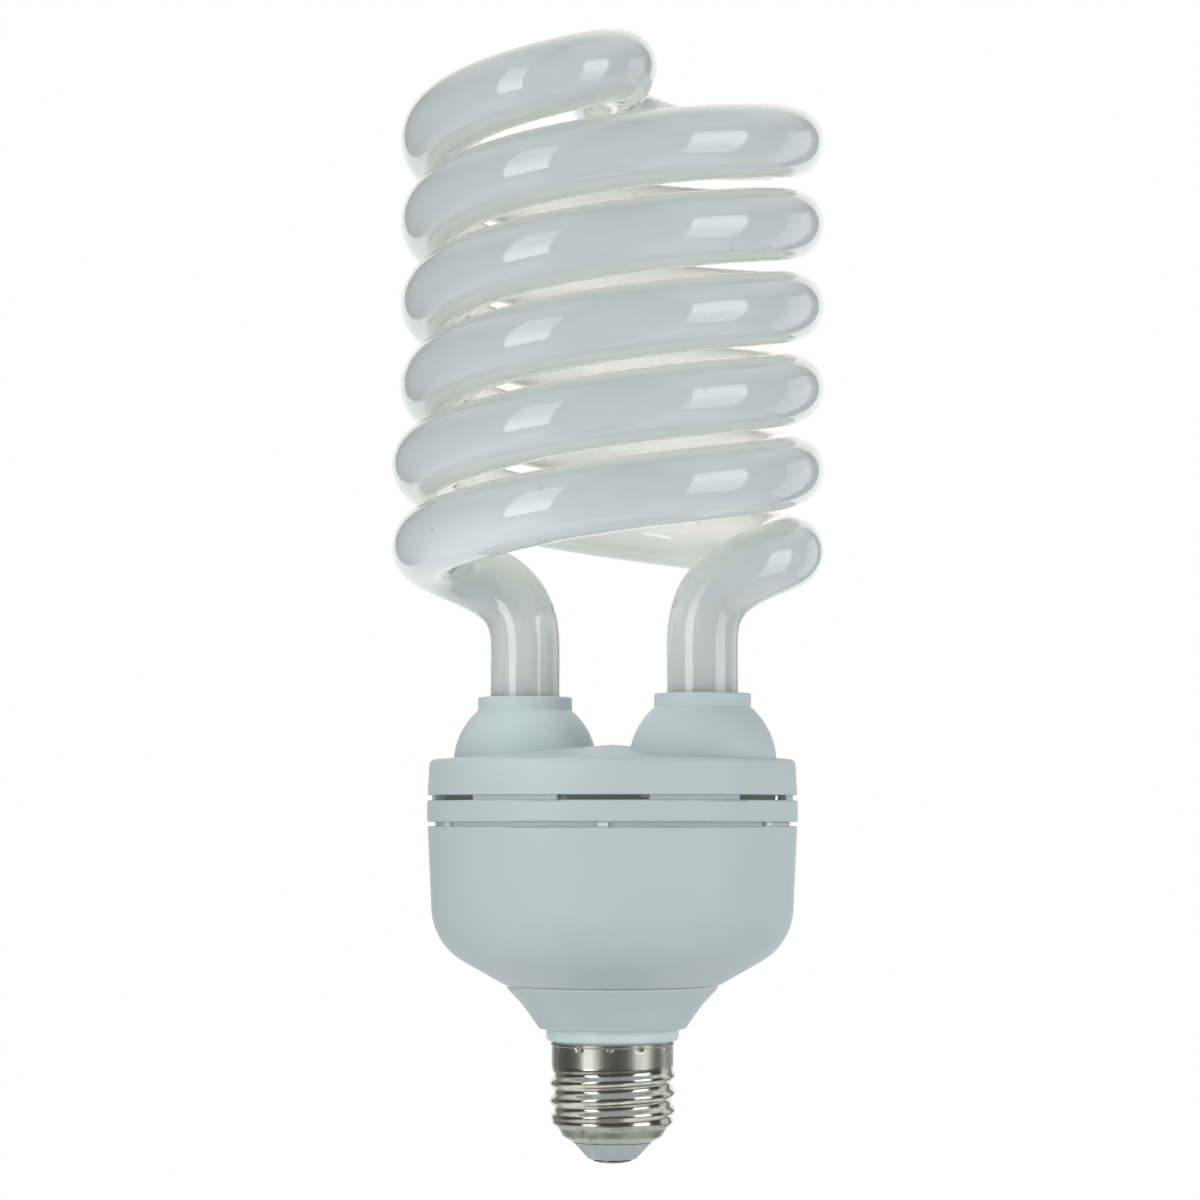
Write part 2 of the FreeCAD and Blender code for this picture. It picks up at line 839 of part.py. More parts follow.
def leg_stations():
    # Points and headings up one leg: straight run, foot bend, coil and half of the bridge
    radius = SIZES["coil_radius"]
    climb = SIZES["coil_pitch"] / (2 * math.pi)
    first_angle = math.radians(SIZES["coil_start_angle"])
    last_angle = first_angle + 2 * math.pi * SIZES["coil_turns"]
    foot = Vector(leg_offset.value, 0, tube_foot.value)
    bend = foot + UP * SIZES["leg_length"]
    coil_foot = bend.z + SIZES["coil_lift"]

    def coil(angle):
        across = Vector(math.cos(angle), math.sin(angle), 0) * radius
        heading = UP.cross(across) + UP * climb
        return across + UP * (coil_foot + climb * (angle - first_angle)), heading.normalize()

    coil_start, start_heading = coil(first_angle)
    coil_end, end_heading = coil(last_angle)
    bridge_angle = math.radians(SIZES["bridge_angle"])
    bridge = Vector(0, 0, coil_end.z + SIZES["bridge_rise"])
    across = Vector(math.cos(bridge_angle), math.sin(bridge_angle), 0)
    foot_lift = bend + UP * SIZES["foot_bend_rise"]
    foot_draw = coil_start - start_heading * SIZES["foot_bend_reach"]
    bridge_lift = coil_end + end_heading * SIZES["bridge_reach"]
    bridge_draw = bridge - across * SIZES["bridge_span"]
    spans = SIZES["arcs_per_bend"]
    arcs = round(SIZES["coil_turns"] * SIZES["arcs_per_turn"])
    angles = [first_angle + (last_angle - first_angle) * index / arcs for index in range(1, arcs)]
    return (
        [(foot, UP)]
        + bezier_stations([bend, foot_lift, foot_draw, coil_start], spans)
        + [coil(angle) for angle in angles]
        + bezier_stations([coil_end, bridge_lift, bridge_draw, bridge], spans)
    )


def spiral_tube():
    leg = leg_stations()
    half_turn = Rotation(UP, 180)
    other_leg = [
        (half_turn.multVec(point), -half_turn.multVec(heading))
        for point, heading in reversed(leg[:-1])
    ]
    stations = leg + other_leg
    points = [stations[0][0]]
    for (start, heading), (end, next_heading) in zip(stations[1:-1], stations[2:-1]):
        half = heading.getAngle(next_heading) / 2
        reach = end.distanceToPoint(start) / 2 / math.cos(half)
        points.append((start + heading * reach + end - next_heading * reach) * 0.5)
    points.append(stations[-1][0])
    glass = tube("glass", points, cell.tube_radius)
    seals = []
    for side in SIDES:
        seal = doc.addObject("Part::Cone", "tube_seal")
        bind(seal, "Radius1", cell.seal_radius)
        bind(seal, "Radius2", cell.tube_radius - cell.seal_shoulder)
        bind(seal, "Height", cell.seal_height + cell.seal_shoulder)
        place(seal, leg_offset * side, 0, tube_foot - cell.seal_height)
        seals.append(seal)
    keep(fuse("spiral_tube", [glass] + seals), "spiral_tube")


def tube_cement():
    rings = []
    bore = cell.tube_radius + cell.seat_gap
    foot = dome_centre - cell.dome_drop
    for side in SIDES:
        x = leg_offset * side
        outside = rod("cement_outside", cell.cement_radius, cell.cement_height, x, 0, foot)
        inside = rod("cement_inside", bore, cell.cement_height, x, 0, foot)
        rings.append(cut("cement_ring", outside, inside))
    group("tube_cement", rings)


# Ballast board and the parts that hang under it
holes = []


def lead(x, y, foot, radius=cell.lead_radius):
    hole = rod("board_hole", radius + cell.hole_clearance, cell.board_thickness, x, y, board_foot)
    holes.append(hole)
    return rod("lead", radius, board_top + cell.lead_tail - foot, x, y, foot)


part_top = board_foot - cell.stand_off
lead_foot = part_top - cell.lead_root


def hanging(label, body, spots):
    return keep(fuse(label, [body] + [lead(x, y, lead_foot) for x, y in spots]), label)


def bulk_capacitor(label, side):
    x = (cell.capacitor_radius + cell.capacitor_gap / 2) * side
    foot = part_top - cell.capacitor_length
    groove = part_top - cell.capacitor_groove_drop
    neck = cell.capacitor_radius - cell.capacitor_groove
    can = doc.addObject("PartDesign::Body", f"{label}_can")
    revolve(can, f"{label}_turn", [
        (0, foot),
        (cell.capacitor_radius, foot, cell.capacitor_edge_round),
        (cell.capacitor_radius, groove - cell.capacitor_groove),
        (neck, groove),
        (cell.capacitor_radius, groove + cell.capacitor_groove),
        (cell.capacitor_radius, part_top, cell.capacitor_edge_round),
        (0, part_top),
    ])
    bind(can, "Placement.Base.x", x)
    half = cell.capacitor_lead_pitch / 2
    hanging(label, can, [(x, half), (x, -half)])


def choke():
    y = cell.capacitor_radius + cell.choke_gap + cell.bobbin_base_depth / 2
    base_foot = part_top - cell.bobbin_base_height
    core_top = base_foot - cell.bobbin_clearance
    middle = core_top - cell.core_height / 2
    halves = []
    zero = as_size(0)
    half_height = cell.core_height / 2
    depth = cell.core_depth
    window = cell.core_window
    window_height = half_height - cell.core_yoke
    post_side = cell.core_width / 2 - window
    window_x = (post_side + window) / 2
    for name, foot, window_foot in (
        ("core_upper", middle, middle),
        ("core_lower", middle - half_height, middle - window_height),
    ):
        slab = block(name, cell.core_width, depth, half_height, zero, y, foot)
        windows = [
            block("core_window", window, depth, window_height, window_x * side, y, window_foot)
            for side in SIDES
        ]
        halves.append(cut(f"{name}_half", slab, fuse("core_windows", windows)))
    group("choke_core", halves)
    hole_length = post_side + cell.bobbin_clearance * 2
    hole_width = depth + cell.bobbin_clearance * 2
    height = window_height * 2 - cell.bobbin_clearance * 2
    foot = middle - height / 2
    flange = cell.bobbin_flange_side
    flange_wall = cell.bobbin_flange
    flange_length = post_side + window * 2 - cell.bobbin_clearance * 2
    high_flange = foot + height - flange_wall
    tube_length = hole_length + cell.bobbin_wall * 2
    tube_width = hole_width + cell.bobbin_wall * 2
    spool = fuse("bobbin_spool", [
        block("bobbin_tube", tube_length, tube_width, height, zero, y, foot),
        block("bobbin_flange_low", flange_length, flange, flange_wall, zero, y, foot),
        block("bobbin_flange_high", flange_length, flange, flange_wall, zero, y, high_flange),
    ])
    hole = block("bobbin_hole", hole_length, hole_width, height, zero, y, foot)
    hollow = cut("bobbin_hollow", spool, hole)
    base_width = cell.bobbin_base_width
    base_depth = cell.bobbin_base_depth
    base = block("bobbin_base", base_width, base_depth, cell.bobbin_base_height, zero, y, base_foot)
    cheek_width = (flange - depth) / 2 - cell.bobbin_clearance
    cheek_height = base_foot - high_flange
    cheek_y = depth / 2 + cell.bobbin_clearance + cheek_width / 2
    cheek = (flange_length, cheek_width, cheek_height)
    cheeks = [
        block("bobbin_cheek", *cheek, zero, y + cheek_y * side, high_flange)
        for side in SIDES
    ]
    pin_x = base_width / 2 - cell.lead_root * 2
    pin_y = base_depth / 2 - cell.lead_root * 2
    pins = [lead(pin_x * side, y + pin_y * end, lead_foot) for side in SIDES for end in SIDES]
    keep(fuse("choke_bobbin", [hollow, base] + cheeks + pins), "choke_bobbin")
    turns_height = height - flange_wall * 2 - cell.seat_gap * 2
    turns_foot = foot + flange_wall + cell.seat_gap
    turns_length = flange_length - cell.bobbin_clearance * 2
    turns_width = cell.winding_side
    rounding = cell.winding_round
    turns = block("winding_turns", turns_length, turns_width, turns_height, zero, y, turns_foot, rounding)
    inside_length = tube_length + cell.seat_gap * 2
    inside_width = tube_width + cell.seat_gap * 2
    inside = block("winding_inside", inside_length, inside_width, turns_height, zero, y, turns_foot)
    keep(cut("choke_winding", turns, inside), "choke_winding")


def drive_transformer():
    x = cell.toroid_x
    y = cell.toroid_y
    wrap = cell.toroid_winding
    foot = part_top - cell.toroid_height - wrap - cell.seat_gap
    core = cut(
        "toroid_ring",
        rod("toroid_outside", cell.toroid_radius, cell.toroid_height, x, y, foot),
        rod("toroid_inside", cell.toroid_bore_radius, cell.toroid_height, x, y, foot),
    )
    keep(core, "drive_core")
    gap = cell.seat_gap
    spread = cell.toroid_radius + wrap / 2 + gap
    count = SIZES["toroid_winding_count"]
    windings = []
    for index in range(count):
        turn = 360 / count * index
        layers = []
        for name, margin in (("wrap_outside", wrap + gap), ("wrap_inside", gap)):
            height = cell.toroid_height + margin * 2
            level = foot - margin
            sector = rod(f"{name}_sector", cell.toroid_radius + margin, height, x, y, level)
            bind(sector, "Angle", cell.toroid_winding_angle)
            start = turn - SIZES["toroid_winding_angle"] / 2
            sector.Placement = FreeCAD.Placement(Vector(), Rotation(UP, start))
            place(sector, x, y, level)
            bore = rod(f"{name}_bore", cell.toroid_bore_radius - margin, height, x, y, level)
            layers.append(cut(name, sector, bore))
        heading = math.radians(turn)
        tail_x = x + spread * math.cos(heading)
        tail_y = y + spread * math.sin(heading)
        tail = lead(tail_x, tail_y, lead_foot, cell.winding_wire_radius)
        windings.append(fuse("wound_wrap", [cut("toroid_wrap", *layers), tail]))
    group("drive_windings", windings)


def transistor(label, side):
    x = cell.transistor_x * side
    y = cell.transistor_y
    width = cell.transistor_width
    depth = cell.transistor_depth
    height = cell.transistor_height
    top = board_foot - cell.transistor_leg_height
    body = block(f"{label}_case", width, depth, height, x, y, top - height)
    tab_thickness = cell.transistor_tab_thickness
    tab_height = cell.transistor_tab_height
    tab_y = y - depth / 2 + tab_thickness / 2
    tab_foot = top - height - tab_height
    tab = block(f"{label}_tab", width, tab_thickness, tab_height, x, tab_y, tab_foot)
    hole_radius = cell.transistor_tab_hole_radius
    hole_z = tab_foot + tab_height / 2
    hole = rod(f"{label}_tab_hole", hole_radius, depth, x, y + depth / 2, hole_z, Vector(0, -1, 0))
    drilled = cut(f"{label}_drilled_tab", tab, hole)
    leads = [lead(x + cell.transistor_lead_pitch * step, y, top - cell.lead_root) for step in (-1, 0, 1)]
    keep(fuse(label, [body, drilled] + leads), label)


def film_capacitor(label, length, depth, height, x, y):
    # Stands with its long side along Y
    body = block(f"{label}_case", depth, length, height, x, y, part_top - height, cell.film_round)
    reach = length / 2 - cell.lead_root * 2
    hanging(label, body, [(x, y + reach), (x, y - reach)])


def filter_choke():
    x = cell.drum_x
    y = cell.drum_y
    foot = part_top - cell.drum_height
    flange_top = foot + cell.drum_flange
    flange_foot = part_top - cell.drum_flange
    drum = doc.addObject("PartDesign::Body", "drum")
    revolve(drum, "drum_turn", [
        (0, foot),
        (cell.drum_radius, foot),
        (cell.drum_radius, flange_top),
        (cell.drum_waist_radius, flange_top),
        (cell.drum_waist_radius, flange_foot),
        (cell.drum_radius, flange_foot),
        (cell.drum_radius, part_top),
        (0, part_top),
    ])
    bind(drum, "Placement.Base.x", x)
    bind(drum, "Placement.Base.y", y)
    half = cell.drum_lead_pitch / 2
    hanging("filter_choke_core", drum, [(x + half, y), (x - half, y)])
    gap = cell.seat_gap
    height = cell.drum_height - cell.drum_flange * 2 - gap * 2
    outside = rod("drum_turns", cell.drum_winding_radius, height, x, y, flange_top + gap)
    inside = rod("drum_turns_bore", cell.drum_waist_radius + gap, height, x, y, flange_top + gap)
    keep(cut("filter_choke_winding", outside, inside), "filter_choke_winding")


def thermistor():
    x = cell.thermistor_x
    y = cell.thermistor_y
    radius = cell.thermistor_radius
    thickness = cell.thermistor_thickness
    foot = part_top - radius
    disc = rod("thermistor_disc", radius, thickness, x, y + thickness / 2, foot, Vector(0, -1, 0))
    reach = radius / 2
    leads = [lead(x + reach * side, y, foot) for side in SIDES]
    keep(fuse("thermistor", [disc] + leads), "thermistor")


def axial_part(name, radius, length, span, x, y, along):
    # Lies under the board with its wire bent up into the board at both ends
    z = part_top - radius
    wire_foot = z - cell.lead_radius
    half = length / 2
    reach = span / 2
    body = rod(f"{name}_body", radius, length, x - half * along.x, y - half * along.y, z, along)
    wire = rod(f"{name}_wire", cell.lead_radius, span, x - reach * along.x, y - reach * along.y, z, along)
    ends = [lead(x + reach * along.x * side, y + reach * along.y * side, wire_foot) for side in SIDES]
    return fuse(name, [body, wire] + ends)


def small_parts():
    along_x = Vector(1, 0, 0)
    along_y = Vector(0, 1, 0)
    zero = as_size(0)
    diode = (cell.diode_radius, cell.diode_length, cell.diode_span)
    diodes = [
        axial_part("diode", *diode, cell.diode_x * side, y, along_x)
        for y in (cell.diode_y, cell.diode_y + cell.diode_spacing)
        for side in SIDES
    ]
    group("rectifier_diodes", diodes)
    resistor = (cell.resistor_radius, cell.resistor_length, cell.resistor_span)
    across = [
        axial_part("resistor", *resistor, cell.resistor_x * side, cell.resistor_y, along_x)
        for side in SIDES
    ]
    pair = [
        axial_part("resistor", *resistor, x, cell.resistor_pair_y, along_y)
        for x in (cell.resistor_pair_x, cell.resistor_pair_x - cell.resistor_spacing)
    ]
    group("resistors", across + pair)
    trigger = (cell.diac_radius, cell.diac_length, cell.diac_span)
    keep(axial_part("diac", *trigger, zero, cell.diac_y, along_y), "diac")
    fuse_foot = part_top - cell.fuse_length
    fuse_body = rod("fuse_body", cell.fuse_radius, cell.fuse_length, zero, cell.fuse_y, fuse_foot)
    half = cell.fuse_lead_pitch / 2
    hanging("fusible_resistor", fuse_body, [(half, cell.fuse_y), (-half, cell.fuse_y)])


def wiring():
    pins = []
    wires = []
    top = board_top + cell.pin_height
    seal_foot = tube_foot.value - SIZES["seal_height"]
    pin_reach = SIZES["pin_offset"] - SIZES["pin_side"] / 2 - SIZES["filament_wire_radius"]
    for side in SIDES:
        for end in SIDES:
            x = cell.pin_offset * side
            y = cell.pin_spread * end
            post = block("pin_post", cell.pin_side, cell.pin_side, cell.pin_height, x, y, board_top)
            pins.append(fuse("wrap_pin", [post, lead(x, y, board_foot - cell.lead_tail)]))
            pin_face = pin_reach * side
            seal_x = leg_offset.value * side
            seal_y = SIZES["filament_wire_spread"] * end
            route = [
                Vector(seal_x, seal_y, seal_foot),
                Vector(seal_x, seal_y, top.value),
                Vector(pin_face, y.value, top.value),
                Vector(pin_face, y.value, board_top.value + SIZES["wrap_height"]),
            ]
            wires.append(tube("filament_wire", route, cell.filament_wire_radius))
    group("wrap_pins", pins)
    group("filament_leads", wires)
    tail_top = board_top.value + SIZES["lead_tail"]
    y = SIZES["mains_wire_y"]
    contact_top = SIZES["contact_thickness"] + SIZES["rivet_length"]
    live = [
        Vector(0, -y, tail_top),
        Vector(0, -y, neck_foot.value),
        Vector(0, 0, band_foot.value),
        Vector(0, 0, contact_top),
    ]
    spigot_end = band_foot.value - SIZES["spigot_end_length"]
    touch = shell_bore.value - SIZES["thread_depth"] / 2 - SIZES["wire_radius"]
    bore_side = neck_bore_radius.value - SIZES["wire_radius"] * 2
    neutral = [
        Vector(0, y, tail_top),
        Vector(0, y, neck_top.value),
        Vector(0, bore_side, neck_foot.value),
        Vector(0, bore_side, spigot_end),
        Vector(0, touch, spigot_end - SIZES["wire_jog"]),
        Vector(0, touch, thread_foot.value),
    ]
    hole_radius = cell.wire_radius + cell.hole_clearance
    for label, route in (("live_wire", live), ("neutral_wire", neutral)):
        holes.append(rod("board_hole", hole_radius, cell.board_thickness, 0, route[0].y, board_foot))
        keep(tube(label, route, cell.wire_radius), label)


def ballast_board():
    board_radius = bore_radius - cell.board_clearance
    disc = rod("board_disc", board_radius, cell.board_thickness, 0, 0, board_foot)
    drill = doc.addObject("Part::Compound", "board_holes")
    drill.Links = holes
    keep(cut("ballast_board", disc, drill), "ballast_board")


centre_contact()
base_insulator()
screw_shell()
neck_adapter()
ballast_housing()
vent_ring()
top_cover()
spiral_tube()
tube_cement()
bulk_capacitor("bulk_capacitor_a", 1)
bulk_capacitor("bulk_capacitor_b", -1)
choke()
drive_transformer()
transistor("transistor_a", 1)
transistor("transistor_b", -1)
resonant_case = (cell.resonant_length, cell.resonant_depth, cell.resonant_height)
film_capacitor("resonant_capacitor", *resonant_case, cell.resonant_x, cell.resonant_y)
box_case = (cell.box_length, cell.box_depth, cell.box_height)
film_capacitor("blocking_capacitor", *box_case, cell.box_x, cell.blocking_y)
film_capacitor("filter_capacitor", *box_case, cell.box_x, cell.filter_y)
filter_choke()
thermistor()
small_parts()
wiring()
ballast_board()

doc.recompute()
failed = [item.Label for item in doc.Objects if {"Invalid", "Error"} & set(item.State)]
if failed:
    raise RuntimeError(f"features failed: {failed}")
for part in PARTS:
    if part.Shape.isNull() or not part.Shape.isValid():
        raise RuntimeError(f"bad shape: {part.Label}")
os.makedirs("parts", exist_ok=True)
for part in PARTS:
    part.Shape.exportStep(f"parts/{part.Label}.step")
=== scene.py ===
import math

import bpy
import numpy as np
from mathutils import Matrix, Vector


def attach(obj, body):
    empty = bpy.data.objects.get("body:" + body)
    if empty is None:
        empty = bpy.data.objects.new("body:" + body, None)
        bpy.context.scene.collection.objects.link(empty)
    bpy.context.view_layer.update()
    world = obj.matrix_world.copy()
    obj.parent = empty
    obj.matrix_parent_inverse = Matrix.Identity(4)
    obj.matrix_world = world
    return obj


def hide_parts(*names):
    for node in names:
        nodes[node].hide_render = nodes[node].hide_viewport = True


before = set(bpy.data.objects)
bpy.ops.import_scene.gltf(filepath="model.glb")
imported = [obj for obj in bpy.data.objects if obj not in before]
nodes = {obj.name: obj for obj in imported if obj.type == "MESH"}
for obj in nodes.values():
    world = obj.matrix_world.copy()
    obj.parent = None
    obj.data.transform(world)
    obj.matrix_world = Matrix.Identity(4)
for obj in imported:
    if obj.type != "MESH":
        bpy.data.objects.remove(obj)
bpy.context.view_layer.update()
scene = bpy.context.scene
scene.view_settings.view_transform = "Standard"
MILLIMETRES_PER_METRE = 1000


# Object helpers
def add_object(name, data):
    holder = bpy.data.objects.new(name, data)
    scene.collection.objects.link(holder)
    return holder


def add_mesh(name, points, faces, flat_faces=0):
    # The last faces stay flat, and all others are shaded smooth
    mesh = bpy.data.meshes.new(name)
    mesh.from_pydata(points, [], faces)
    smooth_faces = len(faces) - flat_faces
    mesh.polygons.foreach_set("use_smooth", [True] * smooth_faces + [False] * flat_faces)
    return add_object(name, mesh)


def ring_faces(below, above, sides):
    # The faces between two rings of points, each given by the number of its first point
    faces = []
    for column in range(sides):
        after = (column + 1) % sides
        faces.append((below + column, below + after, above + after, above + column))
    return faces


def facing(direction):
    # The rotation of a camera or light that looks along a level direction
    return direction.to_track_quat("-Z", "Y").to_euler()


# Camera: level, on the photograph's axis, with the image taken as 1200 by 1200 pixels
PIXELS = 1200
FOCAL_PIXELS = 3683.6
AXIS_X = 612.49
HORIZON_Y = 819.31
SENSOR_WIDTH = 36
CAMERA_TURN = math.radians(32.84)
CAMERA_AWAY = 0.76424
CAMERA_UP = 0.0712
TOWARDS_CAMERA = Vector((math.sin(CAMERA_TURN), -math.cos(CAMERA_TURN), 0))
TO_THE_RIGHT = Vector((math.cos(CAMERA_TURN), math.sin(CAMERA_TURN), 0))


def photo_camera():
    data = bpy.data.cameras.new("camera")
    data.sensor_width = SENSOR_WIDTH
    data.lens = SENSOR_WIDTH * FOCAL_PIXELS / PIXELS
    data.shift_x = 0.5 - AXIS_X / PIXELS
    data.shift_y = HORIZON_Y / PIXELS - 0.5
    camera = add_object("camera", data)
    camera.location = TOWARDS_CAMERA * CAMERA_AWAY + Vector((0, 0, CAMERA_UP))
    camera.rotation_euler = facing(-TOWARDS_CAMERA)
    scene.camera = camera


photo_camera()

# Node helpers
SHORTEST_LENGTH = 0.001


class Graph:
    # A node tree, built from nothing
    def __init__(self, tree):
        self.tree = tree
        self.tree.nodes.clear()

    def add(self, kind, **settings):
        node = self.tree.nodes.new(kind)
        for name, value in settings.items():
            setattr(node, name, value)
        return node

    def link(self, source, target):
        self.tree.links.new(source, target)

    def feed(self, socket, value):
        # A socket takes the output of another node or a constant
        if isinstance(value, bpy.types.NodeSocket):
            self.link(value, socket)
        elif isinstance(value, tuple) and socket.type == "RGBA":
            socket.default_value = (*value, 1.0)
        else:
            socket.default_value = value

    def math(self, operation, *values):
        node = self.add("ShaderNodeMath", operation=operation)
        for socket, value in zip(node.inputs, values):
            self.feed(socket, value)
        return node.outputs[0]

    def plus(self, first, second):
        return self.math("ADD", first, second)

    def times(self, first, second):
        return self.math("MULTIPLY", first, second)

    def larger(self, first, second):
        return self.math("MAXIMUM", first, second)

    def rest(self, share):
        return self.math("SUBTRACT", 1.0, share)

    def level_product(self, first, second):
        # The scalar product of two vectors, without their heights
        return self.plus(self.times(first[0], second[0]), self.times(first[1], second[1]))

    def level_share(self, first, second):
        # How far the first vector points along the second, as a share of the first one's level length
        length = self.math("SQRT", self.level_product(first, first))
        return self.math("DIVIDE", self.level_product(first, second), self.larger(length, SHORTEST_LENGTH))

    def ramp(self, value, low, high):
        # From 0 at low to 1 at high, with soft ends; low may be the larger one
        node = self.add("ShaderNodeMapRange", interpolation_type="SMOOTHSTEP")
        self.feed(node.inputs["Value"], value)
        self.feed(node.inputs["From Min"], low)
        self.feed(node.inputs["From Max"], high)
        return node.outputs["Result"]

    def mix(self, share, first, second):
        # Two colours, which have sockets 6 and 7 of the Mix node
        node = self.add("ShaderNodeMix", data_type="RGBA")
        self.feed(node.inputs["Factor"], share)
        self.feed(node.inputs[6], first)
        self.feed(node.inputs[7], second)
        return node.outputs[2]

    def blend(self, share, first, second):
        # Two numbers, which have sockets 2 and 3 of the Mix node
        node = self.add("ShaderNodeMix", data_type="FLOAT")
        self.feed(node.inputs["Factor"], share)
        self.feed(node.inputs[2], first)
        self.feed(node.inputs[3], second)
        return node.outputs[0]

    def noise(self, vector, scale, detail, roughness=0.5):
        node = self.add("ShaderNodeTexNoise")
        self.feed(node.inputs["Vector"], vector)
        self.feed(node.inputs["Scale"], scale)
        self.feed(node.inputs["Detail"], detail)
        self.feed(node.inputs["Roughness"], roughness)
        return node.outputs["Fac"]

    def stretch(self, vector, scale):
        node = self.add("ShaderNodeVectorMath", operation="MULTIPLY")
        self.feed(node.inputs[0], vector)
        self.feed(node.inputs[1], scale)
        return node.outputs[0]

    def parts(self, vector):
        node = self.add("ShaderNodeSeparateXYZ")
        self.feed(node.inputs[0], vector)
        return node.outputs

    def bump(self, height, strength, distance):
        node = self.add("ShaderNodeBump")
        self.feed(node.inputs["Height"], height)
        self.feed(node.inputs["Strength"], strength)
        self.feed(node.inputs["Distance"], distance)
        return node.outputs["Normal"]


class Finish(Graph):
    # A material with one Principled shader, fed in object space
    def __init__(self, name, **sockets):
        material = bpy.data.materials.new(name)
        material.use_nodes = True
        super().__init__(material.node_tree)
        self.material = material
        self.shader = self.add("ShaderNodeBsdfPrincipled")
        output = self.add("ShaderNodeOutputMaterial")
        self.link(self.shader.outputs[0], output.inputs["Surface"])
        coordinates = self.add("ShaderNodeTexCoord")
        self.place = coordinates.outputs["Object"]
        self.normal = coordinates.outputs["Normal"]
        self.set(**sockets)

    def set(self, **sockets):
        for name, value in sockets.items():
            self.feed(self.shader.inputs[name.replace("_", " ")], value)


# Tones of the finishes, in linear red, green and blue
GLASS_COIL = (0.5, 0.548, 0.548)
GLASS_LEGS = (0.468, 0.496, 0.49)
# Painted light: the creamy tone stands for light that the milky glass lets through from other turns
GLASS_PAINTED_GLOW = (0.93, 0.92, 0.87)
GLASS_CLOUD = (0.42, 0.46, 0.45)
GLASS_SPECK = (0.2, 0.21, 0.2)
PLASTIC = (0.435, 0.508, 0.518)
PLASTIC_PALE = (0.455, 0.525, 0.535)
# Painted light: near white on the plastic faces inside the seam between bowl and neck, which lightens their
# shade
SEAM_PAINTED_LIGHT = (0.93, 0.95, 0.95)
# Painted shade: dark olive on the cover's hooks, which show only through the vent slots, for the shade
# inside them
COVER_HOOKS_PAINTED_SHADE = (0.24, 0.255, 0.2)
# Painted light: a paler tone on the ring's recessed tabs, which lightens the shade in the groove
RING_TABS_PAINTED_LIGHT = (0.64, 0.71, 0.67)
NECK_COLLAR = (0.54, 0.63, 0.63)
THREAD_BRIGHT = (0.73, 0.74, 0.64)
THREAD_STREAK = (0.54, 0.55, 0.46)
BAND_BRIGHT = (0.61, 0.62, 0.54)
BAND_STREAK = (0.43, 0.435, 0.37)
LIP_DULL = (0.41, 0.44, 0.375)
LIP_STAIN = (0.22, 0.215, 0.165)
INSULATOR = (0.405, 0.455, 0.465)

# Shares of a tone that is mixed in, and roughness from the plain to the marked parts of a finish
# The two edge shares paint light on the tops and undersides of the turns, where the neighbouring turns shade
# them
UPPER_PAINTED_GLOW_SHARE = 0.8
LOWER_PAINTED_GLOW_SHARE = 0.35
CLOUD_SHARE = 0.05
SPECK_SHARE = 0.35
PLASTIC_ROUGHNESS = (0.4, 0.5)
ZONE_ROUGHNESS = 0.5
COLLAR_ROUGHNESS = 0.3
THREAD_ROUGHNESS = (0.1, 0.17)
BAND_ROUGHNESS = (0.3, 0.4)
LIP_ROUGHNESS = (0.36, 0.5)
INSULATOR_ROUGHNESS = 0.5
CLOUD_ROUGHENING = 1.3

# Heights at which the finish of a piece changes, in metres
LIP_FADE = (0.0074, 0.0092)
BAND_FADE = (0.0196, 0.0204)
COLLAR_TOP = 0.0279
NECK_SEAM = 0.03677
BOWL_SEAM = 0.03702
TABS_TOP = 0.0705
HOOKS_TOP = 0.076
LEGS_FADE = (0.108, 0.126)
# The coil's painted light fades in over these heights
PAINTED_GLOW_FADE = (0.118, 0.138)
LAMP_FOOT = 0.0
ABOVE_NECK = 0.05
ZONE_EDGE = 0.0001


# Materials
def glass_finish():
    # Phosphor behind clear glass: grey blue, plainer on the legs, and with painted light: creamier where the
    # coil faces inwards or towards its neighbouring turns, standing in for light that other turns shine
    # through
    finish = Finish(
        "phosphor_glass", Roughness=0.06, IOR=1.5, Coat_Weight=1.0, Coat_Roughness=0.03, Coat_IOR=1.5,
        Subsurface_Weight=1.0, Subsurface_Scale=0.018, Subsurface_Radius=(1.0, 1.0, 0.92),
    )
    place = finish.parts(finish.place)
    normal = finish.parts(finish.normal)
    height = place[2]
    upward = normal[2]
    outward = finish.level_share(place, normal)
    inside = finish.rest(finish.ramp(outward, low=-0.8, high=0.35))
    # Painted light: inward faces and the tops and undersides of the turns are lighter and creamier, for
    # light shining through the glass
    painted_upper_glow = finish.times(finish.ramp(upward, low=0.65, high=1.0), UPPER_PAINTED_GLOW_SHARE)
    painted_lower_glow = finish.times(finish.ramp(upward, low=-0.7, high=-1.0), LOWER_PAINTED_GLOW_SHARE)
    shone_through = finish.larger(inside, finish.plus(painted_upper_glow, painted_lower_glow))
    painted_glow = finish.times(shone_through, finish.ramp(height, *PAINTED_GLOW_FADE))
    coat = finish.mix(finish.ramp(height, *LEGS_FADE), GLASS_LEGS, GLASS_COIL)
    coat = finish.mix(painted_glow, coat, GLASS_PAINTED_GLOW)
    cloud = finish.ramp(finish.noise(finish.place, scale=60.0, detail=3.0), low=0.35, high=0.75)
    coat = finish.mix(cloud, coat, finish.mix(CLOUD_SHARE, coat, GLASS_CLOUD))
    speck = finish.ramp(finish.noise(finish.place, scale=420.0, detail=2.0), low=0.745, high=0.775)
    finish.set(Base_Color=finish.mix(finish.times(speck, SPECK_SHARE), coat, GLASS_SPECK))
    wave = finish.noise(finish.place, scale=90.0, detail=1.0)
    finish.set(Normal=finish.bump(wave, strength=0.05, distance=0.0006))
    return finish.material


